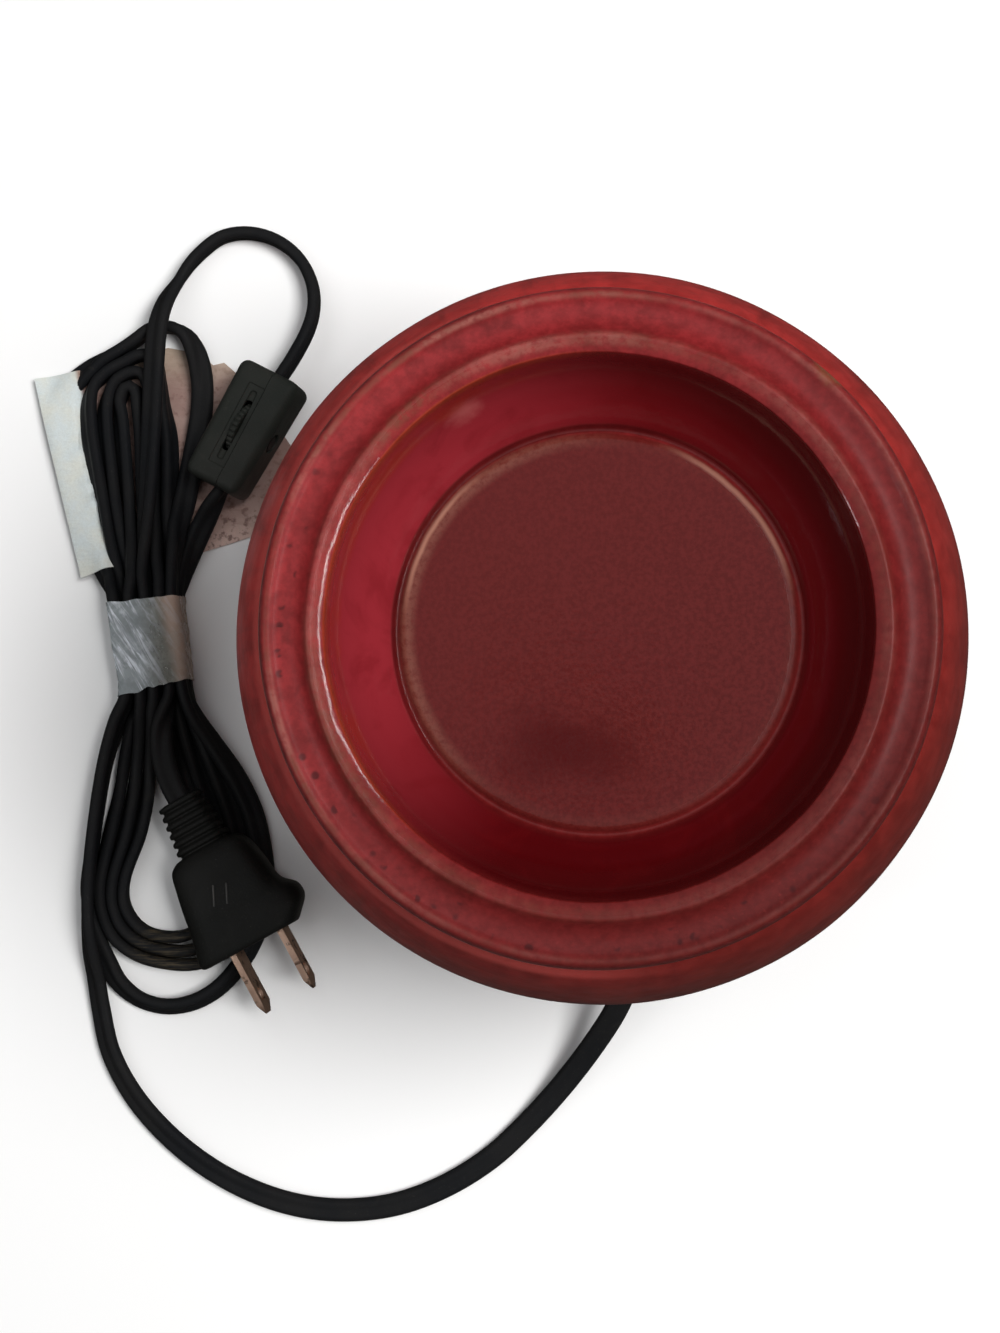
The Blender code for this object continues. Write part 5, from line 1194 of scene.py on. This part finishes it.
# ---------------------------------------------------------------- paper tag: one leaf over a turn, the rest under the hank
TAG = [(-139.9, 68.7), (-134.0, 69.5), (-128.4, 70.4), (-117.0, 73.4), (-107.0, 76.4), (-99.5, 75.0), (-95.7, 72.0), (-93.0, 72.6),
       (-90.1, 70.0), (-84.2, 62.0), (-77.9, 54.1), (-72.6, 46.5), (-72.9, 35.2), (-83.2, 30.5), (-91.8, 27.7), (-98.1, 25.8),
       (-109.5, 23.6), (-120.6, 21.5), (-127.6, 19.3)]



def inside(x, y):
    hit = False
    j = len(TAG) - 1
    for i in range(len(TAG)):
        (x0, y0), (x1, y1) = TAG[i], TAG[j]
        if (y0 > y) != (y1 > y) and x < (x1 - x0) * (y - y0) / (y1 - y0) + x0:
            hit = not hit
        j = i
    return hit


step = 0.9
gx = np.arange(-141.2, -70.4, step)
gy = np.arange(17.6, 78.4, step)
X, Y = np.meshgrid(gx, gy, indexing="ij")
floor_z = np.full(X.shape, 0.22)
# the turn that the left leaf lies on: the part of the run that is left of its neighbours there
sel = [k for k in range(len(ca)) if 17.0 < ca[k][1] < 71.5 and ca[k][0] < -118.4 and ca[k][2] < 6.2 and abs(wa[k][2]) < 0.90
       and k < len(ca) // 2]
obst = floor_z.copy()
for k in sel:
    for s in (-1.0, -0.5, 0.0, 0.5, 1.0):
        q = ca[k] + wa[k] * CORE_OFF * s
        d2 = (X - q[0]) ** 2 + (Y - q[1]) ** 2
        hgt = q[2] + np.sqrt(np.maximum(0.0, (CORE_R + 0.22) ** 2 - d2))
        obst = np.where(d2 < (CORE_R + 0.22) ** 2, np.maximum(obst, hgt), obst)
Z = obst.copy()
for _ in range(500):
    P = np.pad(Z, 1, mode="edge")
    avg = (P[:-2, 1:-1] + P[2:, 1:-1] + P[1:-1, :-2] + P[1:-1, 2:]) / 4
    Z = np.maximum(obst, avg * 0.992)
# the loose left edge curls up a little, and the card is not quite flat
edge_x = np.interp(Y, [19.3, 68.7], [-127.6, -139.9])
Z += 1.1 * np.exp(-((X - edge_x) / 3.0) ** 2) * (0.6 + 0.4 * np.sin(Y / 9.0))
for i in range(X.shape[0]):
    for j in range(X.shape[1]):
        Z[i, j] += 0.10 * noise.noise(Vector((X[i, j] / 11.0, Y[i, j] / 11.0, 5.0))) * (1.0 if X[i, j] < -126 else 0.3)
Z = np.maximum(Z, 0.14)
# right of the leaf the card stays flat on the table under the strands
edge_r = np.interp(Y, [19.0, 21.3, 26.0, 31.1, 43.5, 52.6, 60.8, 70.0], [-115.6, -116.6, -119.0, -122.4, -125.9, -128.6, -128.9, -128.2])
flat = np.clip((X - edge_r) / 1.5, 0.0, 1.0)
Z = Z * (1 - flat) + np.minimum(Z, 0.30) * flat


def z_at(x, y):
    i = min(max((x - gx[0]) / step, 0), len(gx) - 1.001)
    j = min(max((y - gy[0]) / step, 0), len(gy) - 1.001)
    a, b = int(i), int(j)
    u, v = i - a, j - b
    return (Z[a, b] * (1 - u) * (1 - v) + Z[a + 1, b] * u * (1 - v) + Z[a, b + 1] * (1 - u) * v + Z[a + 1, b + 1] * u * v)


bm = bmesh.new()
edge = []
for (x0, y0), (x1, y1) in zip(TAG, TAG[1:] + TAG[:1]):
    n = max(1, int(math.hypot(x1 - x0, y1 - y0) / 1.1))
    for i in range(n):
        edge.append((x0 + (x1 - x0) * i / n, y0 + (y1 - y0) * i / n))
vs = [bm.verts.new((x * MM, y * MM, 0)) for x, y in edge]
bm.faces.new(vs)
for x in np.arange(-140, -72, 1.15):
    bmesh.ops.bisect_plane(bm, geom=bm.verts[:] + bm.edges[:] + bm.faces[:], plane_co=(x * MM + 1.3e-5, 0, 0), plane_no=(1, 0, 0))
for y in np.arange(19, 78, 1.15):
    bmesh.ops.bisect_plane(bm, geom=bm.verts[:] + bm.edges[:] + bm.faces[:], plane_co=(0, y * MM + 1.7e-5, 0), plane_no=(0, 1, 0))
bmesh.ops.remove_doubles(bm, verts=bm.verts, dist=2e-5)
for v in bm.verts:
    v.co.z = z_at(v.co.x / MM, v.co.y / MM) * MM
me = bpy.data.meshes.new("tag_card")
bm.to_mesh(me)
bm.free()
tag = bpy.data.objects.new("tag_card", me)
bpy.context.scene.collection.objects.link(tag)
me.materials.append(m_paper)
mod = tag.modifiers.new("thick", "SOLIDIFY")
mod.thickness = 0.20 * MM
mod.offset = 0.0
apply_modifiers(tag)
shade(tag, True, 50)
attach(tag, BASE)
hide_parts("cord_tag")

# ---------------------------------------------------------------- clear tape round the waist
tie_rings, inner_rings = [], []
ys = np.linspace(-7.6, 13.6, 44)
nr = 132
held = [(c + w * CORE_OFF * sgn) for c, w in ((ca, wa), (cb, wb)) for sgn in (1, -1)]
dirs = np.linspace(0, 2 * math.pi, 241)[:-1]
for k, y in enumerate(ys):
    f = (y + 7.6) / 21.2
    cx = waist_x(y) + 0.5 - 0.4 * f
    slope = 0.26 - 0.15 * f            # the tape sits a little askew
    pts = []
    for line in held:
        g_ = line[:, 1] - y - slope * (line[:, 0] - cx)
        for i in np.nonzero(g_[:-1] * g_[1:] <= 0)[0]:
            u = g_[i] / (g_[i] - g_[i + 1] + 1e-12)
            q = line[i] * (1 - u) + line[i + 1] * u
            if abs(q[0] - cx) < 14.0 and q[2] < 17.0:
                pts.append((q[0] - cx, q[2] - 6.4))
    pts = np.array(pts)
    sup = (pts[:, 0:1] * np.cos(dirs) + pts[:, 1:2] * np.sin(dirs)).max(axis=0) + CORE_R + 0.16
    ring_o, ring_i = [], []
    for i in range(nr):
        a = 2 * math.pi * i / nr
        cc_ = np.cos(dirs - a)
        rad = np.where(cc_ > 0.04, sup / np.maximum(cc_, 0.04), 1e9)
        m_ = int(np.argmin(rad))
        n_ = Vector((math.cos(dirs[m_]), 0, math.sin(dirs[m_])))
        bx = cx + rad[m_] * math.cos(a)
        bz = 6.4 + rad[m_] * math.sin(a)
        # crinkles run slantwise across the tape
        t = bx * 0.9 + y * 0.62
        w1 = noise.noise(Vector((t / 1.7, y / 9.0, bz / 4.0)))
        w2 = noise.noise(Vector((t / 0.75, y / 5.0, bz / 3.0 + 9.0)))
        wr = 0.10 + 0.36 * abs(w1) + 0.12 * w2
        ragged = 0.75 * noise.noise(Vector((a * 3.0, 0.0, 1.0 if k < 22 else 8.0))) * (1.0 if k in (0, 43) else 0.0)
        yy = y + ragged + slope * (bx - cx)
        ring_o.append((bx + n_.x * wr, yy, max(0.12, bz + n_.z * wr)))
        ring_i.append((bx + n_.x * (wr - 0.10), yy, max(0.20, bz + n_.z * (wr - 0.10))))
    tie_rings.append(ring_o)
    inner_rings.append(ring_i)
tie = loft("tape_wrap", tie_rings + inner_rings[::-1], [m_tape], closed=True, angle=60)
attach(tie, BASE)
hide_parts("tie_wrap")

# ---------------------------------------------------------------- lamp pieces with more shape than the CAD's
zs = 31.5
zb = zs + 8.2
zg = zb + 4.6
glass_out = [(4.9, zg), (4.9, zg + 6.0), (4.95, zg + 10.0), (6.4, zg + 14.0), (11.0, zg + 20.5), (15.4, zg + 27.0), (17.5, zg + 35.0),
             (16.2, zg + 42.5), (12.2, zg + 48.6), (6.6, zg + 52.0), (0.02, zg + 53.2)]
go = catmull_open(glass_out, 5)
gi = [(max(r - 0.7, 0.0), z - (0.5 if z > zg + 36 else 0.0) - (0.2 if z > zg + 50 else 0.0)) for r, z in go[::-1]]
go[-1] = (0.0, zg + 53.2)
gi[0] = (0.0, zg + 52.5)
envelope = lathe("bulb_envelope", go + gi[0:], [m_glass], seg=72, angle=60)
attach(envelope, LAMP)
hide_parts("bulb_glass")

# threaded cap
cap = []
nseg = 64
levels = np.arange(zb + 3.2, zb + 14.4, 0.30)
rings = [[(2.2 * math.cos(2 * math.pi * i / nseg), 2.2 * math.sin(2 * math.pi * i / nseg), zb + 0.6) for i in range(nseg)],
         [(3.6 * math.cos(2 * math.pi * i / nseg), 3.6 * math.sin(2 * math.pi * i / nseg), zb + 0.35) for i in range(nseg)],
         [(5.4 * math.cos(2 * math.pi * i / nseg), 5.4 * math.sin(2 * math.pi * i / nseg), zb + 2.4) for i in range(nseg)]]
for z in levels:
    ring = []
    for i in range(nseg):
        a = 2 * math.pi * i / nseg
        env = min(1.0, (z - zb - 3.2) / 0.8) * min(1.0, max(0.0, (zb + 13.4 - z) / 0.8))
        r = 5.62 + 0.26 * env * math.cos(2 * math.pi * (z / 2.5) - a)
        ring.append((r * math.cos(a), r * math.sin(a), z))
    rings.append(ring)
rings.append([(5.45 * math.cos(2 * math.pi * i / nseg), 5.45 * math.sin(2 * math.pi * i / nseg), zb + 14.6) for i in range(nseg)])
rings.append([(5.15 * math.cos(2 * math.pi * i / nseg), 5.15 * math.sin(2 * math.pi * i / nseg), zb + 14.5) for i in range(nseg)])
rings.append([(5.1 * math.cos(2 * math.pi * i / nseg), 5.1 * math.sin(2 * math.pi * i / nseg), zb + 3.4) for i in range(nseg)])
rings.append([(2.2 * math.cos(2 * math.pi * i / nseg), 2.2 * math.sin(2 * math.pi * i / nseg), zb + 1.0) for i in range(nseg)])
capo = loft("cap_threaded", rings, [m_nickel], closed=True, angle=50)
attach(capo, LAMP)
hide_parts("bulb_cap")

# ---------------------------------------------------------------- finishes of the CAD pieces that stay
FINISH = {
    "base_plate": m_zinc, "lamp_bracket": m_zinc, "socket_body": m_phenolic, "socket_screw_shell": m_brass, "socket_contact": m_brass,
    "socket_rivet": m_brass, "bulb_contact": m_brass, "bulb_filament": m_filament, "live_lead": m_lead, "neutral_lead": m_lead2,
    "switch_pivot": m_black, "switch_contact_line": m_brass, "switch_contact_load": m_brass,
}
for nm in nodes:
    if nm.startswith(("base_screw", "base_nut", "bracket_screw", "bracket_nut")):
        FINISH[nm] = m_steel
    if nm.startswith("rubber_pad"):
        FINISH[nm] = m_rubber
for nm, m in FINISH.items():
    for s in nodes[nm].material_slots:
        s.material = m


# ---------------------------------------------------------------- floor, light, camera
g = G("studio_floor")
g.set(color=(0.90, 0.90, 0.90), rough=0.9, spec=0.1)
bpy.ops.mesh.primitive_plane_add(size=12.0, location=(0, 0, -0.0002))
floor = bpy.context.object
floor.name = "studio_floor"
floor.data.materials.append(g.m)

floor.visible_glossy = False

world = bpy.data.worlds.new("studio")
bpy.context.scene.world = world
world.use_nodes = True
wt = world.node_tree
bg = wt.nodes["Background"]
# a dim room: pale ceiling, darker walls, dark below the table's edge
tc = wt.nodes.new("ShaderNodeTexCoord")
sz = wt.nodes.new("ShaderNodeSeparateXYZ")
wt.links.new(tc.outputs["Generated"], sz.inputs[0])
ramp = wt.nodes.new("ShaderNodeValToRGB")
wt.links.new(sz.outputs[2], ramp.inputs[0])
ramp.color_ramp.elements[0].position = 0.0
ramp.color_ramp.elements[0].color = (0.06, 0.055, 0.05, 1)
ramp.color_ramp.elements[1].position = 1.0
ramp.color_ramp.elements[1].color = (0.36, 0.355, 0.355, 1)
e = ramp.color_ramp.elements.new(0.55)
e.color = (0.15, 0.145, 0.14, 1)
wt.links.new(ramp.outputs[0], bg.inputs["Color"])
bg.inputs["Strength"].default_value = 1.0
bg2 = wt.nodes.new("ShaderNodeBackground")
bg2.inputs["Color"].default_value = (0.98, 0.99, 1.0, 1)
bg2.inputs["Strength"].default_value = 0.10
lp = wt.nodes.new("ShaderNodeLightPath")
mx = wt.nodes.new("ShaderNodeMixShader")
wt.links.new(lp.outputs["Is Glossy Ray"], mx.inputs[0])
wt.links.new(bg2.outputs[0], mx.inputs[1])
wt.links.new(bg.outputs[0], mx.inputs[2])
wt.links.new(mx.outputs[0], wt.nodes["World Output"].inputs["Surface"])


def area(name, at, to, size, size_y, power, colour=(1, 1, 1), camera=False):
    d = bpy.data.lights.new(name, "AREA")
    d.shape = "RECTANGLE"
    d.size, d.size_y = size, size_y
    d.energy = power
    d.color = colour
    o = bpy.data.objects.new(name, d)
    bpy.context.scene.collection.objects.link(o)
    o.location = at
    o.rotation_euler = (Vector(to) - Vector(at)).to_track_quat("-Z", "Y").to_euler()
    return o


key = area("softbox", (0.72, 0.12, 1.50), (0.0, 0.0, 0.05), 0.80, 0.70, 30.5, (1.0, 0.995, 0.985))
key.visible_glossy = False
fill = area("ceiling_bounce", (-0.45, 0.35, 1.65), (0.0, 0.0, 0.05), 1.6, 1.6, 6.8, (0.99, 0.995, 1.0))
fill.visible_glossy = False
strip = area("window_strip", (0.79, 0.08, 1.36), (0.0, 0.0, 0.10), 1.15, 0.026, 2.8, (1.0, 0.99, 0.98))
strip.visible_diffuse = False
area("small_left", (-0.95, -0.36, 1.15), (0.0, 0.0, 0.12), 0.07, 0.34, 0.7, (0.95, 0.97, 1.0))

# the dark shape of the camera itself, seen only as a reflection in the bowl's floor
bpy.ops.mesh.primitive_plane_add(size=1.0, location=(-0.009, -0.0225, 0.570))
card = bpy.context.object
card.name = "camera_shape"
card.scale = (0.056, 0.024, 1.0)
card.rotation_euler = (0, 0, math.radians(-12))
g = G("camera_black")
g.set(color=(0.0, 0.0, 0.0), rough=1.0, spec=0.0)
card.data.materials.append(g.m)
card.visible_camera = card.visible_diffuse = card.visible_shadow = False

cam = bpy.data.cameras.new("camera")
cam.sensor_width = 36.0
cam.lens = 2280.0 / 1333.0 * 36.0
cam.dof.use_dof = False
cam.clip_start, cam.clip_end = 0.02, 50.0
co = bpy.data.objects.new("camera", cam)
bpy.context.scene.collection.objects.link(co)
fwd = Vector((math.tan(math.radians(-2.843)), math.tan(math.radians(1.912)), -1.0)).normalized()
right = fwd.cross(Vector((0, 1, 0))).normalized()
up = right.cross(fwd)
co.matrix_world = Matrix((
    (right.x, up.x, -fwd.x, 2.696 * MM), (right.y, up.y, -fwd.y, -21.018 * MM), (right.z, up.z, -fwd.z, 555.8 * MM), (0, 0, 0, 1)))
bpy.context.scene.camera = co
bpy.context.scene.view_settings.view_transform = "Standard"
bpy.context.scene.view_settings.look = "None"
bpy.context.scene.view_settings.exposure = 0.0
